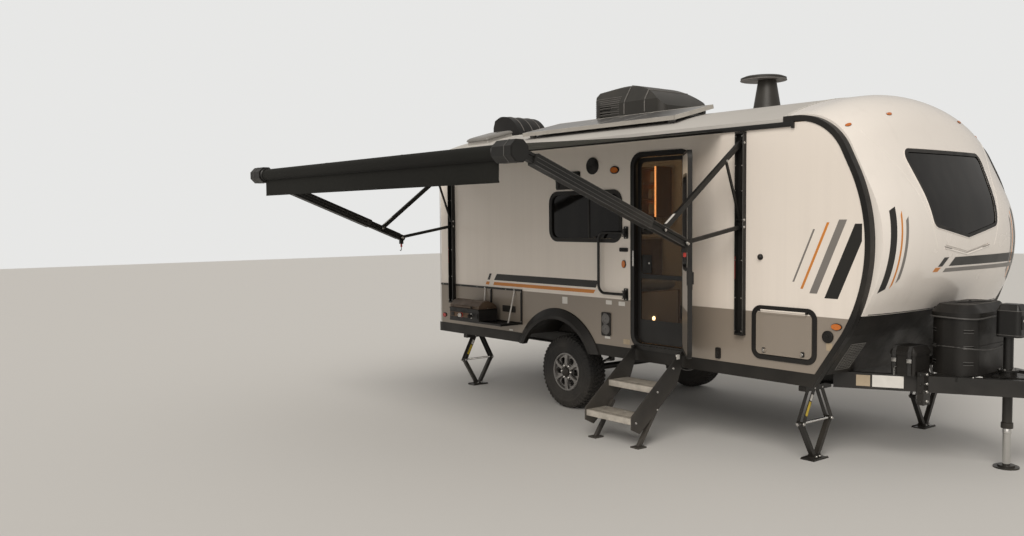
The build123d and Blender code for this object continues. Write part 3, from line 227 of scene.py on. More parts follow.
def body_finishes():
    """Panels, gelcoat, roof, floor and glass."""
    # Side panels are white above, taupe below a line, and cream on the room side
    g = Graph("wall_white", WHITE, 0.28, coat=(0.15, 0.12))
    g.veil(g.noise(0.7, 2.0), 0.05, (0.62, 0.56, 0.49))
    g.tint(g.ramp(g.axis("Z"), TAUPE_TOP + 0.0015, TAUPE_TOP - 0.0015), TAUPE)
    low = g.ramp(g.axis("Z"), 0.8, 2.5, 0.14, 0.03)
    g.stain(g.noise(1.0, 3.0, (14, 14, 0.35)), 0.4, 1.0, low, (0.20, 0.17, 0.13)).dust(1.3, 0.22)
    inside = g.ramp(g.math("ABSOLUTE", g.axis("Y")), 1.078, 1.074)
    g.veil(inside, g.ramp(g.axis("X"), -1.957, -1.953), (0.62, 0.55, 0.45))
    g.grain(0.9, 0.0, 0.004, 0.15).grain(260.0, 2.0, 0.0003, 0.06)

    # The open door stands at 45 degrees, with its taupe part on its outer face only
    g = Graph("door_white", WHITE, 0.3, coat=(0.15, 0.12))
    hinge_x, hinge_y = 1.668, -1.134
    depth = g.times(g.sum(g.axis("Y"), g.sum(hinge_x - hinge_y, g.times(g.axis("X"), -1.0))), 0.7071)
    below = g.ramp(g.axis("Z"), TAUPE_TOP + 0.0015, TAUPE_TOP - 0.0015)
    g.veil(g.ramp(depth, 0.030, 0.026), below, TAUPE)
    g.veil(g.noise(1.1, 4.0), 0.08, (0.45, 0.40, 0.34))

    g = Graph("cap_white", (0.79, 0.74, 0.685), 0.2, coat=(0.5, 0.06))
    g.veil(g.noise(0.8, 2.0), 0.04, (0.64, 0.59, 0.53))
    g.stain(g.noise(1.0, 5.0, (9, 9, 0.5)), 0.55, 0.85, 0.08, (0.22, 0.19, 0.15))
    g.dust(1.5, 0.2).gloss(2.5, 0.20, 0.28).grain(1.4, 1.0, 0.006, 0.2)

    g = Graph("roof_membrane", (0.50, 0.48, 0.45), 0.7).mottle(0.9, 0.10, 3.0)
    g.veil(g.ramp(g.cells(1.3), 0.0, 0.5, 1.0, 0.0), 0.05, (0.2, 0.17, 0.13)).grain(90.0, 3.0, 0.001, 0.25)

    # Planks on top of the floor, plain board below
    g = Graph("floor_board", (0.030, 0.029, 0.028), 0.75).mottle(5.0, 0.4)
    streaks = g.ramp(g.noise(1.2, 4.0, (1, 12, 1)), 0.3, 0.7)
    plank = g.mix(streaks, (0.11, 0.068, 0.040), (0.19, 0.125, 0.078))
    seams = g.ramp(g.math("PINGPONG", g.axis("Y"), 0.075), 0.0, 0.002)
    g.tint(g.ramp(g.axis("Z"), 0.752, 0.758), g.mix(seams, (0.03, 0.02, 0.012), plank))
    g.bump(g.noise(40.0, 3.0, (1, 8, 1)), 0.0008, 0.3)

    g = Graph("dark_glass", (0.0045, 0.004, 0.0036), 0.05, specular=0.28).gloss(5.0, 0.03, 0.09)
    g.stain(g.noise(2.2, 6.0, (3, 3, 0.7)), 0.45, 0.85, 0.03, (0.4, 0.37, 0.32))
    g = Graph("white_trim", (0.66, 0.63, 0.59), 0.4).mottle(6.0, 0.06)
    g.gloss(9.0, 0.34, 0.5).grain(300.0, 2.0, 0.0002, 0.2)
    g = Graph("clear_white", (0.60, 0.58, 0.54), 0.3, transmission_weight=0.15)
    g.mottle(6.0, 0.15).pebble(260.0, 0.0005, 0.3)
    for name, colour, dark in (
        ("amber_lens", (0.60, 0.16, 0.012), (0.32, 0.07, 0.006)),
        ("red_lens", (0.42, 0.012, 0.008), (0.2, 0.004, 0.003)),
    ):
        g = Graph(name, colour, 0.12, coat=(0.6, 0.05))
        g.veil(g.cells(260.0), 0.5, dark).pebble(260.0, 0.0008, 0.5)
    g = Graph("ac_white", (0.030, 0.028, 0.024), 0.42, specular=0.4).mottle(3.0, 0.25, 5.0)
    upward = g.ramp(g.axis("Z"), 2.9, 3.25, 0.0, 0.10)
    g.veil(upward, g.ramp(g.noise(4.0, 6.0), 0.4, 0.7), (0.22, 0.19, 0.15)).pebble(330.0, 0.0006, 0.25)
    g = Graph("solar", (0.085, 0.083, 0.082), 0.3, coat=(0.4, 0.15))
    grid = [g.ramp(g.math("PINGPONG", g.axis(letter), 0.078), 0.0, 0.0012, 1.0, 0.0) for letter in "XY"]
    g.veil(g.math("MAXIMUM", *grid), 0.8, (0.28, 0.29, 0.31)).veil(g.noise(6.0, 6.0), 0.06, (0.3, 0.27, 0.22))


def black_and_metal_finishes():
    """Plastic, painted and bare metal, and rubber."""
    g = Graph("black_plastic", (0.012, 0.011, 0.010), 0.42, specular=0.32).mottle(2.5, 0.35, 5.0)
    g.stain(g.noise(1.7, 6.0), 0.45, 0.8, 0.06, DUST).dust(1.0, 0.12).gloss(6.0, 0.34, 0.55)
    g.pebble(420.0, 0.0005, 0.22)
    g = Graph("black_metal", (0.010, 0.0095, 0.009), 0.38, coat=(0.1, 0.03), specular=0.35)
    g.mottle(4.0, 0.3, 5.0)
    g.dust(0.9, 0.22).gloss(9.0, 0.3, 0.5).grain(380.0, 2.0, 0.0003, 0.25)
    g = Graph("step_metal", (0.016, 0.0155, 0.015), 0.5).mottle(8.0, 0.3, 6.0)
    g.dust(0.8, 0.35).grain(500.0, 2.0, 0.0004, 0.3)
    g = Graph("bumper_metal", (0.014, 0.0135, 0.013), 0.42, coat=(0.2, 0.3)).mottle(4.0, 0.3, 5.0)
    g.dust(1.0, 0.3).grain(420.0, 2.0, 0.0004, 0.3)
    g = Graph("awning_metal", (0.012, 0.0115, 0.0105), 0.42, specular=0.35).mottle(5.0, 0.3)
    g.gloss(9.0, 0.34, 0.5).grain(600.0, 2.0, 0.0002, 0.2)
    Graph("griddle_steel", (0.017, 0.016, 0.015), 0.45, 0.2).mottle(9.0, 0.4, 6.0).gloss(16.0, 0.34, 0.6)
    Graph("lid_brown", (0.105, 0.068, 0.042), 0.48, 0.1).mottle(7.0, 0.4, 6.0).gloss(14.0, 0.34, 0.55)
    g = Graph("tyre", (0.0135, 0.0130, 0.0125), 0.78).mottle(9.0, 0.25, 6.0)
    g.stain(g.noise(4.0, 7.0), 0.4, 0.75, 0.07, DUST).dust(0.45, 0.14).grain(150.0, 4.0, 0.0008, 0.25)
    g = Graph("alloy", (0.30, 0.29, 0.28), 0.34, 0.85).gloss(30.0, 0.26, 0.46).grain(700.0, 2.0, 0.0002, 0.2)
    g.stain(g.noise(9.0, 6.0), 0.4, 0.75, 0.25, (0.12, 0.10, 0.08))
    g = Graph("bare_steel", (0.56, 0.55, 0.53), 0.26, 0.95).gloss(30.0, 0.2, 0.34)
    g.stain(g.noise(30.0, 6.0), 0.5, 0.9, 0.15, (0.16, 0.10, 0.06))


def cloth_and_wood_finishes():
    """Mesh, awning cloth, mattress cloth and the cupboards' wood."""
    g = Graph("insect_mesh", (0.022, 0.021, 0.019), 0.65)
    g.set("Alpha", g.ramp(g.weave(250.0, "ZX", "MAXIMUM"), 0.55, 0.9, 0.12, 0.6))
    g = Graph("awning_cloth", (0.0095, 0.0095, 0.0078), 0.8, specular=0.14, sheen_weight=0.04)
    weave = g.weave(330.0, "XY")
    g.mottle(1.3, 0.3, 5.0).veil(weave, 0.06, (0.035, 0.034, 0.030))
    g.bump(weave, 0.0003, 0.12).grain(3.0, 3.0, 0.01, 0.15)
    g = Graph("mattress_cloth", (0.44, 0.40, 0.35), 0.85, sheen_weight=0.3).mottle(4.0, 0.12)
    g.bump(g.weave(140.0, "XY"), 0.001, 0.3)
    g = Graph("cabinet_wood", (0.24, 0.145, 0.078), 0.42)
    grain = g.noise(2.2, 8.0, (14, 14, 1.0))
    g.tint(g.ramp(grain, 0.35, 0.7), (0.13, 0.072, 0.036)).bump(grain, 0.0006, 0.3)
    g.stain(g.noise(9.0, 8.0, (20, 20, 1.0)), 0.5, 0.8, 0.5, (0.075, 0.04, 0.02))


PLAIN = {
    # colour, roughness, metal, size of the mottle, its share
    "decal_black": ((0.013, 0.012, 0.010), 0.36, 0.0, 2.0, 0.3),
    "decal_grey": ((0.20, 0.185, 0.17), 0.32, 0.0, 2.0, 0.12),
    "decal_orange": ((0.60, 0.22, 0.035), 0.32, 0.0, 2.0, 0.12),
    "label_white": ((0.66, 0.64, 0.60), 0.45, 0.0, 12.0, 0.1),
    "label_tan": ((0.40, 0.32, 0.22), 0.5, 0.0, 12.0, 0.15),
    "label_red": ((0.42, 0.035, 0.025), 0.4, 0.0, 12.0, 0.15),
    "label_yellow": ((0.58, 0.42, 0.04), 0.4, 0.0, 12.0, 0.15),
    # painted shadow: the dark line along the fold below the cap's window
    "fold_shadow_grey": ((0.34, 0.32, 0.30), 0.6, 0.0, 9.0, 0.2),
    "rib_grey": ((0.12, 0.115, 0.105), 0.5, 0.0, 9.0, 0.3),
    "rubber": ((0.014, 0.0135, 0.013), 0.7, 0.0, 20.0, 0.3),
    "outlet_grey": ((0.13, 0.125, 0.12), 0.42, 0.0, 9.0, 0.2),
    "room_panel": ((0.46, 0.38, 0.29), 0.55, 0.0, 5.0, 0.1),
    # painted highlight: lighter lines along the awning arms' edges and rims
    "awning_edge_highlight": ((0.10, 0.098, 0.092), 0.45, 0.2, 9.0, 0.2),
    "awning_under": ((0.095, 0.098, 0.086), 0.75, 0.0, 1.3, 0.18),
    "tread_grit": ((0.37, 0.335, 0.285), 0.85, 0.0, 14.0, 0.35),
    "tread_edge": ((0.52, 0.48, 0.42), 0.55, 0.2, 14.0, 0.3),
    "griddle_panel": ((0.125, 0.072, 0.040), 0.42, 0.2, 9.0, 0.3),
    "strap": ((0.030, 0.029, 0.028), 0.8, 0.0, 30.0, 0.3),
    # painted highlight on the gas bottle cover's waved edge, lip and slot rims; also the jack housing's seams
    "cover_edge": ((0.075, 0.072, 0.068), 0.5, 0.0, 8.0, 0.3),
    "roof_edge": ((0.16, 0.15, 0.14), 0.5, 0.0, 6.0, 0.3),
    "solar_frame": ((0.50, 0.475, 0.43), 0.4, 0.1, 8.0, 0.15),
    "sealant": ((0.58, 0.56, 0.52), 0.6, 0.0, 6.0, 0.2),
    "corner_trim": ((0.62, 0.59, 0.55), 0.38, 0.0, 4.0, 0.1),
    "chrome": ((0.62, 0.61, 0.59), 0.17, 1.0, 6.0, 0.06),
    "smoked": ((0.20, 0.19, 0.175), 0.22, 0.0, 6.0, 0.12),
    "cushion_grey": ((0.22, 0.205, 0.19), 0.85, 0.0, 4.0, 0.15),
    "pillow_white": ((0.60, 0.57, 0.52), 0.85, 0.0, 4.0, 0.08),
}


def plain_finishes():
    """Small trims, films and labels, and what glows."""
    for name, (colour, rough, metal, size, share) in PLAIN.items():
        g = Graph(name, colour, rough, metal).mottle(size, share, 5.0)
        g.gloss(size * 2, rough * 0.85, min(rough * 1.2, 1.0)).grain(size * 30, 2.0, 0.0003, 0.3)
    for name, colour, glow in (("lamp_glow", (1.0, 0.62, 0.28), 9.0), ("shelf_glow", (1.0, 0.36, 0.10), 2.2)):
        g = Graph(name, (0.8, 0.6, 0.4), 0.4, emission_strength=glow)
        g.set("Emission Color", g.mix(g.noise(5.0), colour, tuple(c * 0.75 for c in colour)))


body_finishes()
black_and_metal_finishes()
cloth_and_wood_finishes()
plain_finishes()

# Carried-over nodes take the finish of their slot
for node in NODES.values():
    finishes = node.data.materials
    slot_name = finishes[0].name
    finishes.clear()
    finishes.append(M[slot_name])
NODES["entry_door"].data.materials[0] = M["door_white"]

# Pieces
PLASTIC, METAL, STEEL = "black_plastic", "black_metal", "bare_steel"
PLACE = {
    "X": lambda v, a, b: (v, a, b),
    "Y": lambda v, a, b: (a, v, b),
    "Z": lambda v, a, b: (a, b, v),
}


def turns(count):
    """Angles once round a circle."""
    return [2 * math.pi * k / count for k in range(count)]


class Piece:
    """Mesh under construction from places measured on the road, each part of it with a finish."""

    def __init__(self, name):
        self.name = name
        self.mesh = bmesh.new()
        self.finishes = []

    def dress(self, faces, finish):
        if finish not in self.finishes:
            self.finishes.append(finish)
        for face in faces:
            face.material_index = self.finishes.index(finish)

    def skin(self, rings, finish, caps=True):
        """Faces between rings of points, with both ends closed if asked."""
        rows = [[self.mesh.verts.new(at(*point)) for point in ring] for ring in rings]
        count = len(rows[0])
        faces = []
        for low, high in zip(rows, rows[1:]):
            for i in range(count):
                j = (i + 1) % count
                faces.append(self.mesh.faces.new((low[i], low[j], high[j], high[i])))
        if caps:
            faces.append(self.mesh.faces.new(rows[0][::-1]))
            faces.append(self.mesh.faces.new(rows[-1]))
        self.dress(faces, finish)
        return faces

    def prism(self, outline, axis, low, high, finish, round_by=0.0):
        """Solid between two values along an axis, from an outline of its other two coordinates."""
        place = PLACE[axis]
        faces = self.skin([[place(v, a, b) for a, b in outline] for v in (low, high)], finish)
        if round_by:
            edges = list({edge for face in faces for edge in face.edges})
            rounding = {"offset": round_by, "segments": 2, "affect": "EDGES", "profile": 0.6}
            self.dress(bmesh.ops.bevel(self.mesh, geom=edges, **rounding)["faces"], finish)

    def box(self, x, y, z, finish, round_by=0.0):
        outline = ((y[0], z[0]), (y[1], z[0]), (y[1], z[1]), (y[0], z[1]))
        self.prism(outline, "X", x[0], x[1], finish, round_by)

    def tube(self, path, radius, finish, sides=8, loop=False):
        """Round bar along a path of points."""
        points = [Vector(point) for point in path]
        count = len(points)
        rings = []
        side = None
        for i, point in enumerate(points):
            before = points[i - 1] if i or loop else point
            after = points[(i + 1) % count] if i + 1 < count or loop else point
            along = (after - before).normalized()
            side = side or along.orthogonal()
            side = (side - along * side.dot(along)).normalized()
            other = along.cross(side)
            rings.append([point + radius * (math.cos(a) * side + math.sin(a) * other) for a in turns(sides)])
        self.skin(rings + (rings[:1] if loop else []), finish, caps=not loop)

    def lathe(self, profile, centre, axis, finish, sides=24, way=1, caps=True):
        """Turned shape from distances along an axis and radii."""
        rings = []
        for along, radius in profile:
            ring = []
            for a in turns(sides):
                ring.append(PLACE[axis](way * along, radius * math.cos(a), radius * math.sin(a)))
            rings.append([Vector(centre) + Vector(spot) for spot in ring])
        self.skin(rings, finish, caps=caps)

    def bolt(self, centre, axis, way, size, finish=STEEL):
        """Hexagon head on a washer."""
        self.lathe(((0, size * 1.25), (size * 0.2, size * 1.25)), centre, axis, finish, 16, way)
        self.lathe(((0, size), (size * 0.8, size), (size, size * 0.7)), centre, axis, finish, 6, way)

    def border(self, outlines, low, high, place, finish):
        """Frame between two outlines with the same number of points, from one height to another."""
        outer, inner = outlines
        steps = ((outer, low), (outer, high), (inner, high), (inner, low), (outer, low))
        self.skin([[place(a, b, out) for a, b in outline] for outline, out in steps], finish, caps=False)

    def sticker(self, start, run, side, out, finish):
        """Thin film along a run, to both sides of it."""
        corners = [start - side, start + run - side, start + run + side, start + side]
        self.skin([corners, [corner + out for corner in corners]], finish)

    def wall_box(self, hand, x, out, z, finish, round_by=0.0):
        """Box between two distances from a side wall."""
        self.box(x, [hand * (WALL + distance) for distance in out], z, finish, round_by)

    def wall_plate(self, hand, outline, low, high, finish, round_by=0.0):
        """Plate between two distances from a side wall, from an outline of x and z."""
        self.prism(outline, "Y", hand * (WALL + low), hand * (WALL + high), finish, round_by)

    def wall_lathe(self, hand, x, z, profile, finish, sides):
        """Turned shape from distances from a side wall and radii."""
        self.lathe(profile, (x, hand * WALL, z), "Y", finish, sides, hand)

    def done(self, body="root", replaces=(), angle=32):
        """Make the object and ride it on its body."""
        bmesh.ops.remove_doubles(self.mesh, verts=self.mesh.verts, dist=0.00002)
        bmesh.ops.recalc_face_normals(self.mesh, faces=self.mesh.faces)
        for edge in self.mesh.edges:
            edge.smooth = len(edge.link_faces) == 2 and edge.calc_face_angle(4) < math.radians(angle)
        for face in self.mesh.faces:
            face.smooth = True
        data = bpy.data.meshes.new(self.name)
        self.mesh.to_mesh(data)
        self.mesh.free()
        for finish in self.finishes:
            data.materials.append(M[finish])
        piece = show(self.name, data)
        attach(piece, body)
        if replaces:
            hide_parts(*replaces)
        return piece


# Outlines and surfaces
def rounded(corners, radius, steps=5):
    """Outline whose corners are turned into arcs."""
    outline = []
    for i, corner in enumerate(corners):
        here = Vector(corner)
        before = (Vector(corners[i - 1]) - here).normalized()
        after = (Vector(corners[(i + 1) % len(corners)]) - here).normalized()
        half = before.angle(after) / 2
        centre = here + (before + after).normalized() * (radius / math.sin(half))
        first = here + before * (radius / math.tan(half)) - centre
        last = here + after * (radius / math.tan(half)) - centre
        turn = math.pi - 2 * half
        for k in range(steps + 1):
            t = k / steps
            spoke = first * math.sin((1 - t) * turn) + last * math.sin(t * turn)
            outline.append(tuple(centre + spoke / math.sin(turn)))
    return outline


def rect(x, z, radius, steps=5):
    return rounded(((x[0], z[0]), (x[1], z[0]), (x[1], z[1]), (x[0], z[1])), radius, steps)


def grown(x, z, radius, by):
    """Rounded rectangle let out on every side."""
    return rect((x[0] - by, x[1] + by), (z[0] - by, z[1] + by), radius + by)


def oval(x, z, wide, high, steps=28, start=0.0):
    return [(x + wide * math.cos(start + a), z + high * math.sin(start + a)) for a in turns(steps)]


def dense(outline, step):
    """Outline with more points on its long stretches."""
    points = []
    for i, spot in enumerate(outline):
        ahead = Vector(outline[(i + 1) % len(outline)])
        steps = max(1, int((ahead - Vector(spot)).length / step))
        points += [Vector(spot).lerp(ahead, k / steps) for k in range(steps)]
    return points


def spread(corners, steps):
    """Corners with even steps between them."""
    line = []
    for first, last in zip(corners, corners[1:]):
        line += [Vector(first).lerp(Vector(last), k / steps) for k in range(steps)]
    return line + [Vector(corners[-1])]


def crown(y):
    """Height of the roof at a distance from the centre line."""
    return 2.870 - 0.230 * (y / WALL) ** 2


TREES = {}


def finder(node, way):
    """Finder of a node's surface, looked at along a direction from outside, with a lift along its normal."""
    if node not in TREES:
        data = NODES[node].data
        faces = [tuple(face.vertices) for face in data.polygons]
        TREES[node] = BVHTree.FromPolygons([vertex.co for vertex in data.vertices], faces)
    ray = Vector(way)

    def find(place, lift=0.0):
        hit, normal, _, _ = TREES[node].ray_cast(at(*place) - ray * 3.0, ray)
        if normal.dot(ray) > 0:
            normal = -normal
        return hit + BALL + normal * lift

    return find


find_cap = finder("front_cap", (-1, 0, 0))
find_guard = finder("front_guard", (-1, 0, 0))


def on_cap(y, z, lift=0.0):
    return find_cap((3.3, y, z), lift)


def drape(piece, corners, finish, along, across=3):
    """Thin film over the cap between four corners, each a y and a z."""
    a, b, c, d = (Vector(corner) for corner in corners)
    rings = []
    for i in range(along + 1):
        line = spread((a.lerp(d, i / along), b.lerp(c, i / along)), across)
        outer = [on_cap(*spot, 0.0012) for spot in line]
        rings.append(outer + [on_cap(*spot, -0.002) for spot in line[::-1]])
    piece.skin(rings, finish)


# Tyres and wheels
TYRE_WALL = (
    # distance from the middle plane, radius
    (0.082, 0.190),
    (0.098, 0.1905),
    (0.1045, 0.196),
    (0.113, 0.235),
    (0.1135, 0.249),
    (0.1152, 0.252),
    (0.1152, 0.258),
    (0.1145, 0.262),
    (0.115, 0.285),
    (0.1168, 0.289),
    (0.1168, 0.295),
    (0.1145, 0.299),
    (0.107, 0.332),
    (0.098, 0.346),
    (0.082, 0.3535),
)
BLOCK_ROWS = (
    # across low and high, lean of the block in shares of a pitch, start in shares of a pitch
    (-0.078, -0.047, 0.25, 0.0),
    (-0.040, -0.006, -0.30, 0.35),
    (0.000, 0.034, 0.30, 0.75),
    (0.041, 0.077, -0.25, 0.5),
)
PITCHES = 52


def tyre(name, node, body, axis, centre):
    """Tyre with blocks on its tread and lugs on its shoulders."""
    piece = Piece(name)
    profile = list(TYRE_WALL) + [(-x, r) for x, r in TYRE_WALL[::-1]] + [(-0.07, 0.34), (0.07, 0.34)]
    piece.lathe(profile + profile[:1], centre, axis, "tyre", 96, caps=False)

    def spot(across, radius, turn):
        a = 2 * math.pi * turn / PITCHES
        return Vector(centre) + Vector(PLACE[axis](across, radius * math.sin(a), radius * math.cos(a)))

    for k in range(PITCHES):
        for low, high, lean, start in BLOCK_ROWS:
            rings = []
            for radius, inset in ((0.352, 0.0), (0.3645, 0.0025)):
                left, right = low + inset, high - inset
                near, far = k + start + 0.03, k + start + 0.62
                corners = ((left, near), (left, far), (right, far + lean), (right, near + lean))
                rings.append([spot(across, radius, turn) for across, turn in corners])
            piece.skin(rings, "tyre")
        wide = 0.58 if k % 2 else 0.46
        for hand in HANDS:
            rings = []
            for across, low, high in ((0.080, 0.350, 0.3615), (0.101, 0.338, 0.3535), (0.1135, 0.312, 0.326)):
                corners = ((low, 0.06), (high, 0.10), (high, wide), (low, wide + 0.04))
                rings.append([spot(hand * across, radius, k + turn) for radius, turn in corners])
            piece.skin(rings, "tyre")
    piece.done(body, (node,))


def wheel_details(name, body, axis, centre, way):
    """Spoke ribs, rim lip, nuts, centre cap and valve on a wheel's outer face."""
    piece = Piece(name)

    def spot(radius, turn, out):
        a = math.radians(turn)
        return Vector(centre) + Vector(PLACE[axis](way * out, radius * math.cos(a), radius * math.sin(a)))

    lip = ((0.0, 0.170), (0.007, 0.173), (0.009, 0.180), (0.006, 0.1875), (0.0, 0.1885), (0.0, 0.170))
    piece.lathe(lip, centre, axis, "alloy", 72, way, caps=False)
    for k in range(6):
        rings = []
        for radius, half, out in (
            (0.060, 21, 0.008),
            (0.085, 13, 0.012),
            (0.130, 7, 0.009),
            (0.171, 7.5, 0.005),
        ):
            section = ((-half, 0.0), (-half * 0.7, out), (half * 0.7, out), (half, 0.0))
            rings.append([spot(radius, 30 + 60 * k + turn, lift) for turn, lift in section])
        piece.skin(rings, "alloy")
        piece.bolt(spot(0.064, 60 * k, 0.0), axis, way, 0.0105)
    cap = (
        *((0.0, 0.047), (0.013, 0.045), (0.016, 0.043), (0.016, 0.037)),
        *((0.020, 0.034), (0.024, 0.020), (0.025, 0.004)),
    )
    piece.lathe(cap, centre, axis, PLASTIC, 40, way)
    piece.tube([spot(0.158, 60, 0.0), spot(0.156, 60, 0.012), spot(0.150, 60, 0.022)], 0.0035, PLASTIC)
    piece.done(body)


# Awning
def awning():
    """Cloth from the wall rail over the roller, with its valance under it."""
    low_x, high_x = -1.5745, 2.0345
    rail_y, rail_z = -1.1345, 2.589
    roller_y, roller_z, radius = -3.42, 2.33, 0.0535
    thick, slope_steps = 0.0012, 24
    # y, z, sag of the slope or less than none down the valance, way to the inner side
    path = []
    for i in range(slope_steps + 1):
        t = i / slope_steps
        y, z = rail_y + t * (roller_y - rail_y), rail_z + t * (roller_z + radius - rail_z)
        path.append((y, z, 4 * t * (1 - t), (0.0, -thick)))
    for k in range(1, 12):
        turn = math.radians(90 + 172 * k / 11)
        across, up = math.cos(turn), math.sin(turn)
        path.append((roller_y + radius * across, roller_z + radius * up, 0.0, (-thick * across, -thick * up)))
    for k in range(1, 9):
        path.append((roller_y - 0.0075, roller_z - radius - 0.145 * k / 8, -k / 8, (thick, 0.0)))

    def drop(share, sag):
        """How far the cloth hangs below the straight slope."""
        return 0.020 * max(sag, 0.0) * (0.35 + 0.65 * 4 * share * (1 - share))

    piece = Piece("awning_cloth")
    rings = []
    for i in range(61):
        share = i / 60
        x = low_x + share * (high_x - low_x)
        outer, inner = [], []
        for y, z, sag, inward in path:
            y += 0.004 * math.sin(share * 23) * max(-sag, 0.0)
            z -= drop(share, sag)
            outer.append((x, y, z))
            inner.append((x, y + inward[0], z + inward[1]))
        rings.append(outer + inner[::-1])
    faces = piece.skin(rings, "awning_cloth")
    around = 2 * len(path)
    piece.dress([face for k, face in enumerate(faces[:-2]) if k % around >= len(path)], "awning_under")
    cloth = piece.done("root", ("awning_fabric",), 40)

    seams = Piece("awning_seams")
    fold = (roller_y - 0.0088, roller_y - 0.0050)
    seams.box((low_x, high_x), fold, (2.1310, 2.1450), "awning_cloth", 0.0005)
    section = ((-0.012, 0.0012), (0.012, 0.0012), (0.012, -0.0006), (-0.012, -0.0006))
    for share in (0.333, 0.667):
        x = low_x + share * (high_x - low_x)
        slope = path[:slope_steps + 1]
        rings = [[(x + side, y, z - drop(share, sag) + up) for side, up in section] for y, z, sag, _ in slope]
        seams.skin(rings, "awning_cloth")
    hem = seams.done()


# Graphics
def graphics():
    """Stripes and slanted bars as thin films on the walls and the cap."""
    film = Piece("wall_stripes")
    bars = (
        # outline as x, z; finish
        (((-1.015, 1.240), (0.545, 1.240), (0.580, 1.308), (-0.965, 1.308)), "decal_black"),
        (((-1.130, 1.240), (-1.090, 1.240), (-1.055, 1.308), (-1.092, 1.308)), "decal_black"),
        (((-1.030, 1.186), (0.515, 1.186), (0.540, 1.220), (-1.010, 1.220)), "decal_orange"),
        (((-1.165, 1.186), (-1.105, 1.186), (-1.090, 1.220), (-1.145, 1.220)), "decal_orange"),
        (((2.690, 1.400), (2.706, 1.400), (2.882, 1.800), (2.866, 1.800)), "decal_grey"),
        (((2.760, 1.350), (2.782, 1.350), (3.002, 1.850), (2.980, 1.850)), "decal_orange"),
        (((2.838, 1.320), (2.902, 1.320), (3.144, 1.870), (3.080, 1.870)), "decal_grey"),
        (((2.965, 1.290), (3.075, 1.290), (3.262, 1.715), (3.262, 1.840), (3.207, 1.840)), "decal_black"),
    )
    for hand in HANDS:
        for outline, finish in bars:
            film.wall_plate(hand, outline, -0.0003, 0.0007, finish)
    film.done()

    film = Piece("cap_stripes")
    strips = (
        # corners as y, z: low start, high start, high end, low end; finish; steps
        (((-0.245, 1.512), (-0.175, 1.578), (1.02, 1.584), (1.02, 1.512)), "decal_black", 24),
        (((-0.312, 1.468), (-0.285, 1.497), (1.02, 1.500), (1.02, 1.466)), "decal_grey", 24),
        (((-0.405, 1.512), (-0.337, 1.580), (-0.270, 1.580), (-0.343, 1.512)), "decal_black", 4),
        (((-0.462, 1.474), (-0.437, 1.505), (-0.358, 1.505), (-0.392, 1.474)), "decal_orange", 4),
    )
    for corners, finish, steps in strips:
        drape(film, corners, finish, steps)
    tall = (
        # y at the foot, y at the top, width, foot and top heights, finish
        (1.022, 0.975, 0.060, 1.34, 1.96, "decal_black"),
        (0.925, 0.878, 0.018, 1.37, 1.93, "decal_orange"),
        (0.880, 0.833, 0.030, 1.41, 1.89, "decal_grey"),
    )
    for hand in HANDS:
        for foot_y, top_y, wide, low, high, finish in tall:
            outer = ((hand * foot_y, low), (hand * (foot_y - wide), low + 0.03))
            inner = ((hand * (top_y - wide), high), (hand * top_y, high - 0.03))
            drape(film, (*outer, *inner), finish, 16, 2)
    film.done()


def labels():
    """Small blank stickers and plates on the door side and on the drawbar."""
    piece = Piece("blank_labels")
    tags = (
        # x, z ranges; finish
        ((0.074, 0.149), (1.061, 1.128), "label_white"),
        ((0.680, 0.756), (1.094, 1.132), "label_white"),
        ((0.665, 0.735), (0.775, 0.797), "label_white"),
        ((0.845, 0.925), (1.092, 1.130), "label_white"),
        ((0.905, 0.985), (0.745, 0.790), "label_tan"),
        ((2.985, 3.035), (0.905, 0.960), "label_tan"),
        ((-0.760, -0.700), (0.722, 0.738), "label_white"),
    )
    for x, z, finish in tags:
        piece.wall_plate(-1, rect(x, z, 0.004), 0.0006, -0.0003, finish)
    along = Vector((1.355, 0.73, 0.0)).normalized()
    out = Vector((along.y, -along.x, 0.0))
    start = Vector((2.86, -0.822, 0.0)) - out * 0.0005
    for near, far, low, high, finish in (
        (0.165, 0.265, 0.602, 0.686, "label_tan"),
        (0.280, 0.500, 0.600, 0.690, "label_white"),
    ):
        middle = start + along * near + Vector((0, 0, (low + high) / 2))
        piece.sticker(middle, along * (far - near), Vector((0, 0, (high - low) / 2)), out * 0.0017, finish)
    piece.done()


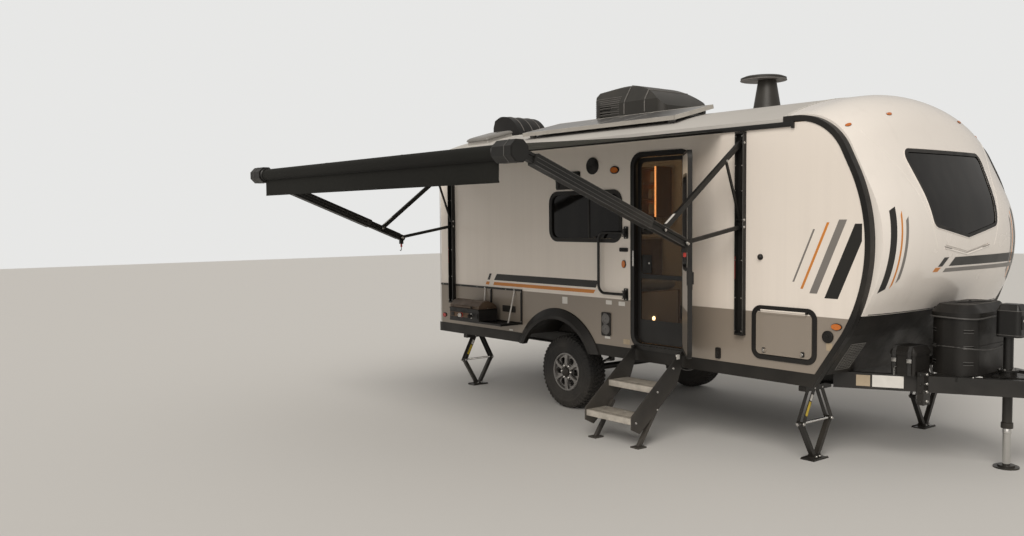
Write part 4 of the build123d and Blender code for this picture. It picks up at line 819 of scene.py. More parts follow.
# Front
def cap_details():
    """Lip round the window, flanges, creases, a painted shadow line with a ridge below it along the fold,
    brow lamps and the cap's lower edge.
    """
    piece = Piece("cap_trim")
    window = ((-0.6, 2.375), (0.6, 2.375), (0.49, 1.828), (0.0, 1.742), (-0.49, 1.828))
    centre = Vector((0.0, 2.06))
    loop = dense(rounded(window, 0.06, 6), 0.06)
    lip = []
    for i, spot in enumerate(loop):
        along = (loop[(i + 1) % len(loop)] - loop[i - 1]).normalized()
        out = Vector((along.y, -along.x))
        lip.append(spot + (out if out.dot(spot - centre) > 0 else -out) * 0.0225)
    piece.tube([on_cap(*spot, 0.0012) for spot in lip], 0.0042, "cap_white", loop=True)
    crease = spread(((0.93, 2.52), (0.89, 2.44), (0.72, 2.25), (0.63, 2.08), (0.54, 1.85), (0.45, 1.65)), 12)
    flange = ((0.0008, 1.0552), (0.0008, 1.0558), (0.085, 1.0558), (0.085, 1.0552))
    for hand in HANDS:
        rings = []
        for k in range(60):
            z = 1.176 + 1.39 * k / 59
            edge = on_cap(hand * 1.0535, z).x
            rings.append([(edge - back, hand * y, z) for back, y in flange])
        piece.skin(rings, "cap_white")
        piece.tube([on_cap(hand * y, z, -0.0045) for y, z in crease], 0.0065, "cap_white", 12)
        for y, z in ((0.99, 2.56), (0.55, 2.66)):
            foot = on_cap(hand * y, z)
            clear = on_cap(hand * y, z, 1.0) - foot
            side = Vector((0, 1, 0)).cross(clear).normalized()
            across = clear.cross(side)
            rings = []
            for out, wide, high in ((-0.004, 0.030, 0.014), (0.004, 0.030, 0.014), (0.010, 0.024, 0.009)):
                rim = oval(0.0, 0.0, wide, high, 20)
                rings.append([foot + clear * out + across * a + side * b for a, b in rim])
            piece.skin(rings[:2], PLASTIC)
            piece.skin(rings[1:], "amber_lens")
    piece.tube([on_cap(y / 10, 1.178) for y in range(-10, 11)], 0.0035, PLASTIC)
    fold = spread(((-0.36, 1.661), (-0.11, 1.623), (0.0, 1.606), (0.11, 1.623), (0.36, 1.661)), 12)
    # The dark line along the fold is a painted shadow; the white ridge under it is shape
    piece.tube([on_cap(y, z, 0.001) for y, z in fold], 0.0036, "fold_shadow_grey")
    piece.tube([on_cap(y, z - 0.011, -0.002) for y, z in fold], 0.006, "cap_white", 10)
    piece.done()


def guard_details():
    """Ribbed grips moulded into the guard under the cap."""
    piece = Piece("guard_ribs")
    rows, columns = [0.745 + 0.0145 * k for k in range(15)], [0.985 - 0.034 * i for i in range(6)]
    for hand in HANDS:
        for z in rows:
            piece.tube([find_guard((3.1, hand * y, z), 0.0015) for y in columns], 0.0042, "rib_grey", 6)
        for y in columns:
            piece.tube([find_guard((3.1, hand * y, z), 0.001) for z in rows], 0.0026, "rib_grey", 5)
    piece.done(angle=50)


# Walls
def on_wall(hand):
    """Places on a side wall from an x, a z and a distance from it."""
    return lambda x, z, out: (x, hand * (WALL + out), z)


def gaskets(piece, across, up, low, place):
    """Outer and inner rubber of a window."""
    lines = [grown(across, up, 0.09, by) for by in (0.024, 0.0195, -0.008, -0.014)]
    piece.border(lines[:2], low, 0.011, place, PLASTIC)
    piece.border(lines[2:], 0.004, 0.0095, place, "rubber")


def louvre(piece, x, z, wide, high, rows):
    """Vent in the left wall with its frame, slats and two screws."""
    low_x, high_x, low_z, high_z = x - wide / 2, x + wide / 2, z - high / 2, z + high / 2
    outer = rect((low_x, high_x), (low_z, high_z), 0.014)
    inner = rect((low_x + 0.016, high_x - 0.016), (low_z + 0.016, high_z - 0.016), 0.006)
    piece.border((outer, inner), 0.0115, 0.017, on_wall(1), PLASTIC)
    section = ((0.0112, -0.007), (0.0175, -0.009), (0.0185, -0.007), (0.0112, 0.006))
    for k in range(rows):
        foot = low_z + 0.026 + (high - 0.052) * k / (rows - 1)
        slat = [(WALL + out, foot + up) for out, up in section]
        piece.prism(slat, "X", low_x + 0.02, high_x - 0.02, PLASTIC)
    for screw_x in (low_x + 0.035, high_x - 0.035):
        profile = ((0.012, 0.009), (0.020, 0.008), (0.021, 0.003))
        piece.wall_lathe(1, screw_x, low_z + 0.008, profile, STEEL, 16)


def wall_details():
    """Gaskets, outlets, louvres, lamp rims and other fittings of both side walls."""
    piece = Piece("wall_details")
    for hand, x in ((-1, (-0.08, 0.87)), (1, (-1.5, -0.7)), (1, (1.5, 2.3))):
        gaskets(piece, x, (1.69, 2.13), 0.006, on_wall(hand))
        middle = x[0] + 0.56 * (x[1] - x[0])
        bar = (middle - 0.009, middle + 0.009)
        piece.wall_box(hand, bar, (-0.008, -0.002), (1.704, 2.116), PLASTIC, 0.002)
        piece.wall_box(hand, (middle + 0.05, middle + 0.10), (-0.008, 0.002), (1.71, 1.724), PLASTIC, 0.003)
    lamps = [(-1, 0.80, 2.33, 0.045, 0.025, 0.011), (-1, 0.915, 1.475, 0.020, 0.032, 0.004)]
    for hand in HANDS:
        lamps += [(hand, 3.07, 1.086, 0.040, 0.022, 0.004), (hand, -1.935, 0.80, 0.030, 0.022, 0.004)]
    for hand, x, z, wide, high, rim in lamps:
        outlines = (oval(x, z, wide + rim, high + rim), oval(x, z, wide + 0.0008, high + 0.0008))
        piece.border(outlines, 0.0, 0.0085, on_wall(hand), PLASTIC)
    speaker = [(0.001, 0.079), (0.011, 0.079), (0.016, 0.074)]
    speaker += [(0.014 + 0.0025 * (k % 2), 0.070 - 0.006 * k) for k in range(11)]
    outlet = (
        *((0.010, 0.050), (0.018, 0.049), (0.021, 0.044), (0.021, 0.036)),
        *((0.017, 0.034), (0.017, 0.008), (0.022, 0.006)),
    )
    port = (
        *((0.011, 0.044), (0.014, 0.043), (0.016, 0.038), (0.013, 0.036)),
        *((0.013, 0.012), (0.018, 0.010), (0.018, 0.003)),
    )
    lock = ((0.011, 0.020), (0.016, 0.019), (0.022, 0.012), (0.030, 0.011), (0.033, 0.008))
    for hand, x, z, profile, finish, sides in (
        (-1, 0.51, 2.38, speaker, PLASTIC, 40),
        (-1, 0.69, 0.958, outlet, "outlet_grey", 28),
        (-1, 0.69, 0.862, outlet, "outlet_grey", 28),
        (-1, 3.0, 1.007, port, PLASTIC, 32),
        (1, 1.9, 1.0, port, PLASTIC, 32),
        (-1, 2.40, 1.58, lock, PLASTIC, 24),
        (-1, 1.99, 0.760, ((0.011, 0.013), (0.030, 0.012), (0.032, 0.008)), PLASTIC, 16),
    ):
        piece.wall_lathe(hand, x, z, profile, finish, sides)
    piece.wall_plate(-1, rect((0.630, 0.750), (0.800, 1.020), 0.014), 0.010, 0.013, PLASTIC, 0.0012)
    for x, out, z, finish, round_by in (
        # outlets' hinges, window bracket, drain, slots of the switch plate
        ((0.672, 0.708), (0.026, 0.010), (1.002, 1.010), "outlet_grey", 0.002),
        ((0.672, 0.708), (0.026, 0.010), (0.906, 0.914), "outlet_grey", 0.002),
        ((0.01, 0.05), (0.019, 0.011), (2.185, 2.325), METAL, 0.003),
        ((0.29, 0.33), (0.019, 0.011), (2.185, 2.325), METAL, 0.003),
        ((0.0, 0.34), (0.017, 0.011), (2.245, 2.265), METAL, 0.003),
        ((1.975, 2.005), (0.022, 0.011), (0.745, 0.812), PLASTIC, 0.004),
        *(
            ((0.873, 0.957), (0.0155, 0.011), (z, z + 0.003), PLASTIC, 0.001)
            for z in (1.5915, 1.5995, 1.6075, 1.6155)
        ),
    ):
        piece.wall_box(-1, x, out, z, finish, round_by)
    louvre(piece, 1.0, 1.15, 0.42, 0.30, 9)
    louvre(piece, 1.0, 2.15, 0.42, 0.18, 5)
    louvre(piece, -1.3, 1.0, 0.34, 0.34, 8)
    for hand in HANDS:
        for x in (-1.98, 2.69):
            piece.wall_box(hand, (x - 0.012, x + 0.012), (0.001, 0.022), (2.560, 2.612), PLASTIC, 0.004)
        piece.tube([(x, hand * (WALL + 0.0165), 2.5745) for x in (-1.99, 2.70)], 0.0035, METAL)
        piece.wall_box(hand, (-1.998, 2.70), (0.0005, 0.0172), (2.5775, 2.6105), "awning_metal", 0.0015)
    piece.done()


def door_details():
    """Handles, seals and glazing beads of both door leaves, and the frame's keeper."""
    pin = Vector((1.668, -1.134, 0.0))
    along = Vector((1.0, -1.0, 0.0)).normalized()
    inward = Vector((-1.0, -1.0, 0.0)).normalized()

    def leaf(run, height, depth):
        return pin + along * run + inward * depth + Vector((0, 0, height))

    piece = Piece("entry_door_hardware")
    bead = (rect((0.104, 0.516), (1.464, 2.246), 0.07), rect((0.118, 0.502), (1.478, 2.232), 0.058))
    for near, far in ((0.0045, 0.0075), (0.0435, 0.0453)):
        piece.border(bead, near, far, leaf, PLASTIC)
    for outline, near, far, finish in (
        (rect((0.525, 0.585), (1.36, 1.50), 0.012), 0.041, 0.0448, PLASTIC),
        (rect((0.540, 0.570), (1.40, 1.47), 0.008), 0.0445, 0.0454, "rubber"),
    ):
        piece.skin([[leaf(a, b, depth) for a, b in outline] for depth in (near, far)], finish)
    for hinge in (0.93, 1.60, 2.27):
        for run in (0.022, 0.030):
            for height in (hinge - 0.007, hinge + 0.007):
                piece.lathe(((0.0, 0.0028), (0.0012, 0.0024)), leaf(run, height, 0.0015), "Z", STEEL, 8)
    piece.done("entry_door")

    piece = Piece("screen_door_hardware")
    front = -1.084
    piece.box((1.098, 1.60), (front - 0.0008, front + 0.013), (1.352, 1.372), METAL, 0.0004)
    pull = rect((1.120, 1.160), (1.44, 1.54), 0.010)
    for outline, near, far, finish, round_by in (
        (rect((1.104, 1.215), (1.40, 1.565), 0.012), -0.0008, 0.013, PLASTIC, 0.0004),
        (pull, -0.0014, -0.0006, "rubber", 0.0),
        (pull, 0.013, 0.026, PLASTIC, 0.003),
    ):
        piece.prism(outline, "Y", front + near, front + far, finish, round_by)
    piece.lathe(((-0.0016, 0.006), (-0.0012, 0.008), (-0.0006, 0.008)), (1.19, front, 1.49), "Y", STEEL, 16)
    for z in (1.385, 1.39):
        piece.tube([(1.105, front + 0.0045, z), (1.605, front + 0.0045, z)], 0.0016, METAL, 6)
    for z in (1.13, 2.07):
        piece.box((1.628, 1.652), (front - 0.0008, front + 0.0015), (z - 0.03, z + 0.03), METAL, 0.0004)
    piece.done("screen_door")

    piece = Piece("doorway_details")
    seal = (rect((1.002, 1.708), (0.727, 2.473), 0.123), rect((1.008, 1.702), (0.733, 2.467), 0.117))
    piece.border(seal, 0.0078, 0.0096, on_wall(-1), "rubber")
    piece.wall_box(-1, (1.0285, 1.0455), (0.013, 0.0075), (1.46, 1.60), STEEL, 0.002)
    piece.box((1.05, 1.66), (-1.1255, -1.120), (0.7535, 0.7585), STEEL, 0.0015)
    for k in range(4):
        piece.box((1.06, 1.65), (-1.116 + 0.008 * k, -1.112 + 0.008 * k), (0.7548, 0.7575), METAL, 0.0008)
    for z in (1.20, 1.76):
        piece.wall_plate(-1, rect((0.918, 0.972), (z - 0.056, z + 0.056), 0.010), 0.009, 0.0055, METAL, 0.001)
        for bolt_z in (z - 0.045, z + 0.045):
            piece.bolt((0.945, -WALL - 0.009, bolt_z), "Y", -1, 0.0045)
    piece.done()


SQUARE = ((-1, -1), (1, -1), (1, 1), (-1, 1))


def awning_arm(piece, x, inner):
    """Bolts, labels, sleeve, edges, catch and head of one of the awning's arms, with painted highlight lines
    along the edges and a painted highlight ring on the head.
    """
    for z in (0.985, 1.25, 1.55, 2.10, 2.30, 2.53):
        for side in (-0.030, 0.030):
            piece.wall_lathe(-1, x + side, z, ((0.0455, 0.006), (0.049, 0.0045)), STEEL, 10)
    for y, z, reach, size in (
        (-1.146, 2.479, 0.040, 0.008),
        (-1.146, 1.870, 0.040, 0.008),
        (-1.146, 1.814, 0.040, 0.008),
        (-1.800, 1.696, 0.030, 0.009),
        (-2.047, 1.803, 0.026, 0.009),
        (-1.322, 2.331, 0.013, 0.009),
        (-1.814, 1.702, 0.030, 0.009),
    ):
        for way in HANDS:
            piece.bolt((x + way * reach, y, z), "X", way, size)

    run, lean = Vector((0, -1.590, 0.622)).normalized(), Vector((0, 0.622, 1.590)).normalized()

    def arm(along, side, up):
        return Vector((x + side, -1.800, 1.696)) + run * along + lean * up

    for along, long, finish in ((0.14, 0.13, "label_white"), (0.30, 0.05, "label_red")):
        piece.sticker(arm(along, 0.0, 0.0315), run * long, Vector((0.010, 0, 0)), lean * 0.0008, finish)
    sleeve = ((0.42, 0.031, 0.034), (0.43, 0.036, 0.040), (1.60, 0.036, 0.040), (1.61, 0.031, 0.034))
    rings = [[arm(along, a * half_x, b * half_up) for a, b in SQUARE] for along, half_x, half_up in sleeve]
    piece.skin(rings, "awning_metal")
    # The lighter tubes along the arm's edges are painted highlights
    edges = [(0.43, 1.60, 0.0362, b * 0.014, 0.0016) for b in HANDS]
    for a, b in SQUARE:
        edges += [(0.05, 0.42, a * 0.0295, b * 0.031, 0.0022), (0.43, 1.60, a * 0.0355, b * 0.0395, 0.0022)]
    for low, high, side, up, radius in edges:
        piece.tube([arm(low, side, up), arm(high, side, up)], radius, "awning_edge_highlight", 6)
    # The lighter lines along the wall channel's edges are painted highlights
    for a in HANDS:
        piece.tube([(x + a * 0.0395, -WALL - 0.0445, z) for z in (0.97, 2.545)], 0.0018, "awning_edge_highlight", 6)
    strut, rise = Vector((0, -0.901, -0.676)).normalized(), Vector((0, -0.676, 0.901)).normalized()
    spot = Vector((x, -2.047, 1.803)) - strut * 0.17 + rise * 0.0202
    piece.sticker(spot, strut * 0.12, Vector((0.011, 0, 0)), rise * 0.0008, "label_white")
    channel = (-WALL - 0.0465, -WALL)
    for low, high, y, z, finish, round_by in (
        (-0.022, 0.022, (-1.822, -1.790), (1.630, 1.672), PLASTIC, 0.006),
        (-0.012, 0.012, (-1.812, -1.800), (1.596, 1.632), "label_red", 0.004),
        (-0.041, 0.041, channel, (0.950, 0.966), PLASTIC, 0.003),
        (-0.041, 0.041, channel, (2.548, 2.566), PLASTIC, 0.003),
        (-0.0345, -0.0325, (-WALL - 0.0475, -WALL - 0.0448), (1.40, 1.58), "label_red", 0.0),
    ):
        piece.box((x + low, x + high), y, z, finish, round_by)
    piece.tube([(x, -1.806, 1.60), (x, -1.806, 1.57), (x, -1.814, 1.556), (x, -1.824, 1.566)], 0.004, METAL)
    head, roller = x + inner * 0.08, (-3.42, 2.33)
    # The lighter ring between the head's plates is a painted highlight
    for face, radius, finish in (
        (-0.101, 0.076, "awning_metal"),
        (0.101, 0.076, "awning_metal"),
        (-0.030, 0.0822, "awning_edge_highlight"),
    ):
        middle = head + inner * face
        ring = oval(*roller, radius, radius, 8, math.pi / 8)
        piece.prism(ring, "X", middle - 0.0035, middle + 0.0035, finish)
    collar = [(0.0985 + 0.006 * k, 0.060 if k % 2 else 0.066) for k in range(6)]
    piece.lathe(collar, (head, *roller), "X", "awning_metal", 28, inner)


def awning_details():
    piece = Piece("awning_hardware")
    awning_arm(piece, 2.22, -1)
    awning_arm(piece, -1.76, 1)
    piece.done()


def baggage_details():
    """Twist latches of both baggage doors."""
    for hand, body in ((-1, "baggage_door_right"), (1, "baggage_door_left")):
        piece = Piece(body + "_latches")
        for x in (2.440, 2.790):
            plate = rect((x - 0.016, x + 0.016), (0.832, 0.872), 0.008)
            piece.wall_plate(hand, plate, 0.0, 0.0125, PLASTIC, 0.002)
            piece.wall_lathe(hand, x, 0.852, ((0.010, 0.010), (0.018, 0.009), (0.020, 0.005)), STEEL, 18)
            piece.wall_box(hand, (x - 0.003, x + 0.003), (0.019, 0.027), (0.838, 0.866), STEEL, 0.0015)
        piece.done(body)


# Griddle and its rack
def griddle_details():
    """Front panel, knobs, rim and vents of the griddle."""
    piece = Piece("griddle_details")
    for x, finish in (((-1.392, -1.055), "griddle_panel"), ((-1.050, -0.908), "griddle_steel")):
        piece.prism(rect(x, (0.853, 0.902), 0.006), "Y", -1.4262, -1.4275, finish, 0.0005)
    for x, y in (((-1.41, -1.4015), -1.176), ((-0.8985, -0.89), -1.176), ((-1.41, -0.89), -1.420)):
        piece.box(x, (-1.4285, y), (0.936, 0.9485), "griddle_steel", 0.002)
    knob = ((0.026, 0.0215), (0.029, 0.0225), (0.032, 0.0215), (0.047, 0.0175), (0.050, 0.013))
    for x, finish, ring in ((-1.188, "label_white", "label_red"), (-1.010, PLASTIC, STEEL)):
        piece.lathe(knob, (x, -1.420, 0.876), "Y", finish, 28, -1)
        piece.lathe(((0.0105, 0.027), (0.014, 0.0265)), (x, -1.416, 0.876), "Y", ring, 28, -1)
        piece.box((x - 0.003, x + 0.003), (-1.474, -1.460), (0.862, 0.892), PLASTIC, 0.001)
    piece.box((-1.375, -1.315), (-1.434, -1.427), (0.858, 0.897), PLASTIC, 0.004)
    for k in range(6):
        y = -1.40 + 0.032 * k
        piece.box((-0.8905, -0.8885), (y, y + 0.015), (0.862, 0.874), "griddle_steel")
    for x in (-1.405, -0.8935):
        piece.bolt((x, -1.30, 0.955), "Z", 1, 0.004)
    for way in HANDS:
        spot = (-1.15 + way * 0.150, -1.438, 0.966)
        piece.lathe(((0.0, 0.010), (0.012, 0.009), (0.016, 0.004)), spot, "X", PLASTIC, 16, way)
    piece.done()


def lid_details():
    """Seams along the edges of the griddle's lid."""
    lid = Piece("griddle_lid_edge")
    profile = (
        (-1.4155, 0.9495),
        (-1.4155, 0.979),
        (-1.366, 1.0232),
        (-1.300, 1.0352),
        (-1.225, 1.0052),
        (-1.1855, 0.9745),
        (-1.1855, 0.9495),
    )
    for x in (-1.405, -0.895):
        lid.prism(profile, "X", x - 0.0012, x + 0.0012, "lid_brown", 0.0005)
    lid.box((-1.405, -0.895), (-1.4175, -1.4145), (0.9495, 0.960), "lid_brown", 0.001)
    lid.done("griddle_lid")


def rack_details():
    """White stays, bolts, end plates and slats of the griddle's rack."""
    rack = Piece("rack_stays")
    for x, low_y in ((-1.161, -1.160), (-0.660, -1.214)):
        rack.tube([(x, -1.124, 1.153), (x, low_y, 0.808)], 0.0074, "white_trim", 10)
        for y, z in ((-1.124, 1.153), (low_y, 0.810)):
            rack.lathe(((-0.010, 0.010), (0.010, 0.010)), (x, y, z), "X", STEEL, 14)
    bolts = [(x, z) for x in (-1.06, -0.55) for z in (0.83, 1.14)]
    for x, z in bolts + [(x, 1.155) for x in (-1.95, -1.60, -1.30, -0.80)]:
        rack.bolt((x, -WALL - 0.013, z), "Y", -1, 0.005)
    for x in (-0.565, -1.45):
        rack.box((x - 0.004, x + 0.004), (-1.391, -1.120), (0.799, 0.8215), METAL, 0.0015)
    for k in range(9):
        rack.box((-1.445, -0.57), (-1.366 + 0.027 * k, -1.360 + 0.027 * k), (0.8098, 0.8122), METAL, 0.0006)
    rack.done()


# Drawbar
def battery_trim(piece):
    """Straps over the battery box with their buckles, and ridges on its lid."""
    profile = (
        *((-0.609, 0.704), (-0.609, 0.8765), (-0.586, 0.919)),
        *((-0.374, 0.919), (-0.3515, 0.8765), (-0.3515, 0.704)),
    )
    thick, middle = 0.0016, -0.48
    outer = [(y + (thick if y > middle else -thick), z + (thick if z > 0.9 else 0.0)) for y, z in profile]
    for x in (3.235, 3.355):
        piece.prism(outer + list(profile[::-1]), "X", x - 0.014, x + 0.014, "strap")
        piece.box((x - 0.019, x + 0.019), (-0.6175, -0.6095), (0.80, 0.83), STEEL, 0.002)
    for k in range(5):
        piece.box((3.215 + 0.034 * k, 3.229 + 0.034 * k), (-0.56, -0.40), (0.9185, 0.9225), PLASTIC, 0.0015)


def bottle_cover_trim(piece):
    """Waved edge, lip, cord, knob and corner ribs of the gas bottle cover; the edge, lip and ribs are lighter
    lines of painted highlight.
    """
    middle = 3.51
    outline = dense(rect((3.34, 3.68), (-0.33, 0.33), 0.13, 6), 0.03)
    # The lighter waved loops are painted highlight lines along the edge and the lip
    for wide, long, height, swing, waves in ((1.0, 1.0, 0.897, 0.018, 2), (1.083, 1.042, 1.130, 0.004, 3)):
        path = []
        for a, (x, y) in zip(turns(len(outline)), outline):
            path.append((middle + (x - middle) * wide, y * long, height + swing * math.sin(waves * a)))
        piece.tube(path, 0.0065, "cover_edge", loop=True)
    cord = (
        (3.365, -0.245, 1.190),
        (3.42, -0.21, 1.222),
        (3.50, -0.10, 1.2335),
        (3.56, 0.02, 1.2335),
        (3.60, 0.15, 1.228),
        (3.655, 0.215, 1.190),
    )
    piece.tube(cord, 0.0045, "rubber")
    for spot in (cord[0], cord[-1]):
        piece.lathe(((-0.012, 0.012), (0.004, 0.013), (0.012, 0.008)), spot, "Z", PLASTIC, 16)
    piece.lathe(((0.105, 0.016), (0.112, 0.014), (0.121, 0.006)), (middle, 0.0, 1.123), "Z", PLASTIC, 16)
    # The lighter rims along the slots' edges are painted highlights
    for way, hand in SQUARE:
        for z in (0.793, 0.913, 1.033):
            for height, radius in ((z + 0.0105, 0.1312), (z - 0.0105, 0.1308)):
                rim = []
                for k in range(5):
                    turn = math.radians(29 + 8 * k)
                    x = middle + way * (0.040 + radius * math.cos(turn))
                    rim.append((x, hand * (0.200 + radius * math.sin(turn)), height))
                piece.tube(rim, 0.0028, "cover_edge", 6)


def jack_trim(piece):
    """Sleeve, collar, base bolts, housing seams and switches of the tongue jack."""
    sleeve = ((0.032, 0.0282), (0.260, 0.0282), (0.262, 0.0305), (0.300, 0.0305), (0.305, 0.0282))
    collar = ((0.300, 0.041), (0.306, 0.043), (0.340, 0.043), (0.346, 0.037))
    piece.lathe(sleeve, (3.80, 0.0, 0.0), "Z", "chrome", 32)
    piece.lathe(collar, (3.80, 0.0, 0.0), "Z", METAL, 24)
    for x, y in oval(3.80, 0.0, 0.056, 0.056, 6, math.pi / 6):
        piece.bolt((x, y, 0.742), "Z", 1, 0.008)
    for z in (1.005, 1.186):
        seam = [(x, y, z) for x, y in rect((3.73, 3.91), (-0.075, 0.075), 0.034)]
        piece.tube(seam, 0.0035, "cover_edge", 6, loop=True)
    piece.prism(rect((-0.05, 0.05), (1.05, 1.15), 0.012), "X", 3.909, 3.915, PLASTIC, 0.0015)
    for y, z, finish in (
        (-0.022, 1.115, "label_white"),
        (0.022, 1.115, "label_white"),
        (0.0, 1.075, "rubber"),
    ):
        piece.lathe(((0.0, 0.010), (0.006, 0.0095), (0.008, 0.006)), (3.914, y, z), "X", finish, 18)


def drawbar_details():
    """Bolts, coupler latch and hooks on the drawbar, with the trim of what stands on it."""
    piece = Piece("drawbar_details")
    for hand in HANDS:
        for z in (0.516, 0.588, 0.646, 0.716):
            piece.bolt((3.425, hand * 0.5755, z), "Y", hand, 0.008, METAL)
            piece.bolt((3.4502, hand * 0.526, z), "X", 1, 0.010)
    battery_trim(piece)
    bottle_cover_trim(piece)
    jack_trim(piece)
    piece.box((4.10, 4.24), (-0.011, 0.011), (0.742, 0.760), STEEL, 0.004)
    piece.tube([(4.12, 0.0, 0.752), (4.06, 0.0, 0.775), (4.02, 0.0, 0.778)], 0.007, METAL)
    piece.lathe(((-0.062, 0.006), (0.062, 0.006)), (4.20, 0.0, 0.735), "Y", STEEL, 12)
    hook = ((3.24, 0.617, 0.70), (3.24, 0.617, 0.752), (3.246, 0.622, 0.766), (3.262, 0.624, 0.768))
    for hand in HANDS:
        piece.tube([(x, hand * y, z) for x, y, z in hook], 0.004, STEEL)
        eye = oval(4.02, 0.640, 0.022, 0.022, 20)
        piece.tube([(x, hand * 0.198, z) for x, z in eye], 0.006, STEEL, loop=True)
        for x in (2.90, 3.30, 3.70, 4.05):
            y = hand * (0.792 - (x - 2.86) * 0.5387)
            piece.lathe(((0.0, 0.007), (0.006, 0.006)), (x, y, 0.703), "Z", STEEL, 8)
    piece.done()


# Steps and legs
def step_details():
    """Gritted treads, nosings and hardware of the entry steps."""
    piece = Piece("step_treads")
    for front, top in ((-1.470, 0.478), (-1.740, 0.252)):
        for near, far, low, high, finish in (
            (0.0535, 0.2300, -0.0005, 0.0016, "tread_grit"),
            (0.0010, 0.0425, -0.0005, 0.0016, "tread_grit"),
            (-0.0016, 0.0005, -0.0490, 0.0010, "tread_edge"),
        ):
            piece.box((1.0725, 1.6045), (front + near, front + far), (top + low, top + high), finish, 0.0006)
        for x in (1.10, 1.338, 1.577):
            piece.lathe(((0.0, 0.006), (0.0022, 0.005)), (x, front + 0.20, top + 0.001), "Z", STEEL, 10)
    for x, way in ((1.062, -1), (1.615, 1)):
        for y, z in ((-1.245, 0.618), (-1.44, 0.440), (-1.70, 0.215), (-1.44, 0.290)):
            piece.bolt((x, y, z), "X", way, 0.008)
        rim = ((-1.150, 0.749), (-1.750, 0.270), (-1.750, 0.165))
        piece.tube([(x - way * 0.005, y, z) for y, z in rim], 0.0055, "step_metal")
    piece.box((1.607, 1.6165), (-1.205, -1.165), (0.690, 0.730), "label_white", 0.001)
    piece.done("entry_steps")


def stabiliser_trim(piece, x, hand):
    """Screw, pivots, labels and ribbed foot of one stabiliser."""
    centre = hand * 0.85
    thread = [(0.0025 * k - 0.185, 0.0112 if k % 2 else 0.0093) for k in range(150)]
    piece.lathe(thread, (x, centre, 0.300), "Y", "chrome", 12)
    piece.lathe(((0.0, 0.013), (0.028, 0.013)), (x, centre + hand * 0.205, 0.300), "Y", STEEL, 6, hand)
    for way, face in SQUARE:
        for reach, out, z, size in (
            (0.190, 0.030, 0.300, 0.011),
            (0.05, 0.0275, 0.566, 0.009),
            (0.022, 0.034, 0.022, 0.008),
        ):
            piece.bolt((x + face * out, centre + way * reach, z), "X", face, size)
    arm = Vector((0, -0.140, -0.266)).normalized()
    start = Vector((x + 0.0278, centre - 0.05, 0.566))
    side = Vector((0, -arm.z, arm.y)) * 0.014
    for begin, long, finish in ((0.055, 0.050, "label_white"), (0.115, 0.115, "label_yellow")):
        piece.sticker(start + arm * begin, arm * long, side, Vector((0.0008, 0, 0)), finish)
    piece.box((x - 0.062, x + 0.062), (centre - 0.102, centre + 0.102), (0.0, 0.0035), "rubber", 0.001)
    for rib in (x - 0.055, x + 0.055):
        piece.box((rib - 0.004, rib + 0.004), (centre - 0.095, centre + 0.095), (0.007, 0.016), METAL, 0.002)


def leg_details():
    """The four stabilisers' small parts, and the springs' bolts."""
    piece = Piece("stabiliser_details")
    for x in (2.72, -1.68):
        for hand in HANDS:
            stabiliser_trim(piece, x, hand)
    for hand in HANDS:
        spring = hand * 0.795
        for way, side in SQUARE:
            x, y = way * 0.045, spring + side * 0.034
            piece.tube([(x, y, 0.325), (x, y, 0.452)], 0.006, STEEL)
        for x in (-0.38, 0.38):
            for z in (0.505, 0.578):
                piece.lathe(((-0.034, 0.011), (0.034, 0.011)), (x, spring, z), "Y", STEEL, 12)
    piece.done()


# Roof
def roof_unit_ribs(piece):
    """Ribs and slats of the air conditioner and the vent cover."""
    cooler, vent = "roof_air_conditioner", "roof_vent_cover"
    for x in (0.17, 0.45):
        path = []
        for k in range(25):
            turn = math.radians(-88 + 176 * k / 24)
            path.append(finder(cooler, (0, -math.sin(turn), -math.cos(turn)))((x, 0.0, 2.93), 0.001))
        piece.tube(path, 0.006, "roof_edge")
    for k in range(6):
        z = 2.9325 + 0.034 * k
        piece.tube([(-0.292, -0.24, z), (-0.297, 0.0, z), (-0.292, 0.24, z)], 0.004, "roof_edge", 6)
    above = finder(vent, (0, 0, -1))
    for y in (-0.335, -0.205, -0.075):
        path = [above((-1.885 + 0.450 * k / 19, y, 2.95), 0.001) for k in range(20)]
        piece.tube(path, 0.0045, "roof_edge", 6)
    for k in range(5):
        z = 2.90 + 0.03 * k
        piece.tube([(-1.9015, -0.375, z), (-1.9015, -0.035, z)], 0.004, "roof_edge", 6)
    for hand in HANDS:
        beside = finder(cooler, (0, -hand, 0))
        for k in range(11):
            line = [beside((x, 0.0, 2.915 + 0.021 * k), 0.0015) for x in (-0.27, -0.16, -0.04, 0.10)]
            piece.tube(line, 0.0034, "roof_edge", 6)


def solar_trim(piece):
    """Frame and seams of the solar panel."""

    def on_panel(x, across, up):
        return (x, -0.68 + 0.970 * across - 0.243 * up, crown(-0.68) + 0.243 * across + 0.970 * up)

    rail = (
        *((0.0014, 0.029), (0.0014, 0.0665), (-0.015, 0.0665)),
        *((-0.015, 0.0651), (0.0003, 0.0651), (0.0003, 0.029)),
    )
    seam = ((-0.003, 0.0648), (-0.002, 0.0656), (0.002, 0.0656), (0.003, 0.0648))
    for hand in HANDS:
        rings = [[on_panel(x, hand * (0.27 + out), up) for out, up in rail] for x in (-0.7114, 1.3714)]
        piece.skin(rings, "solar_frame")
        rings = [[on_panel(0.33 + hand * (1.04 + out), y, up) for out, up in rail] for y in (-0.2714, 0.2714)]
        piece.skin(rings, "solar_frame")
    for x in (-0.018, 0.33, 0.675):
        piece.skin([[on_panel(x + a, y, up) for a, up in seam] for y in (-0.256, 0.256)], "solar_frame")


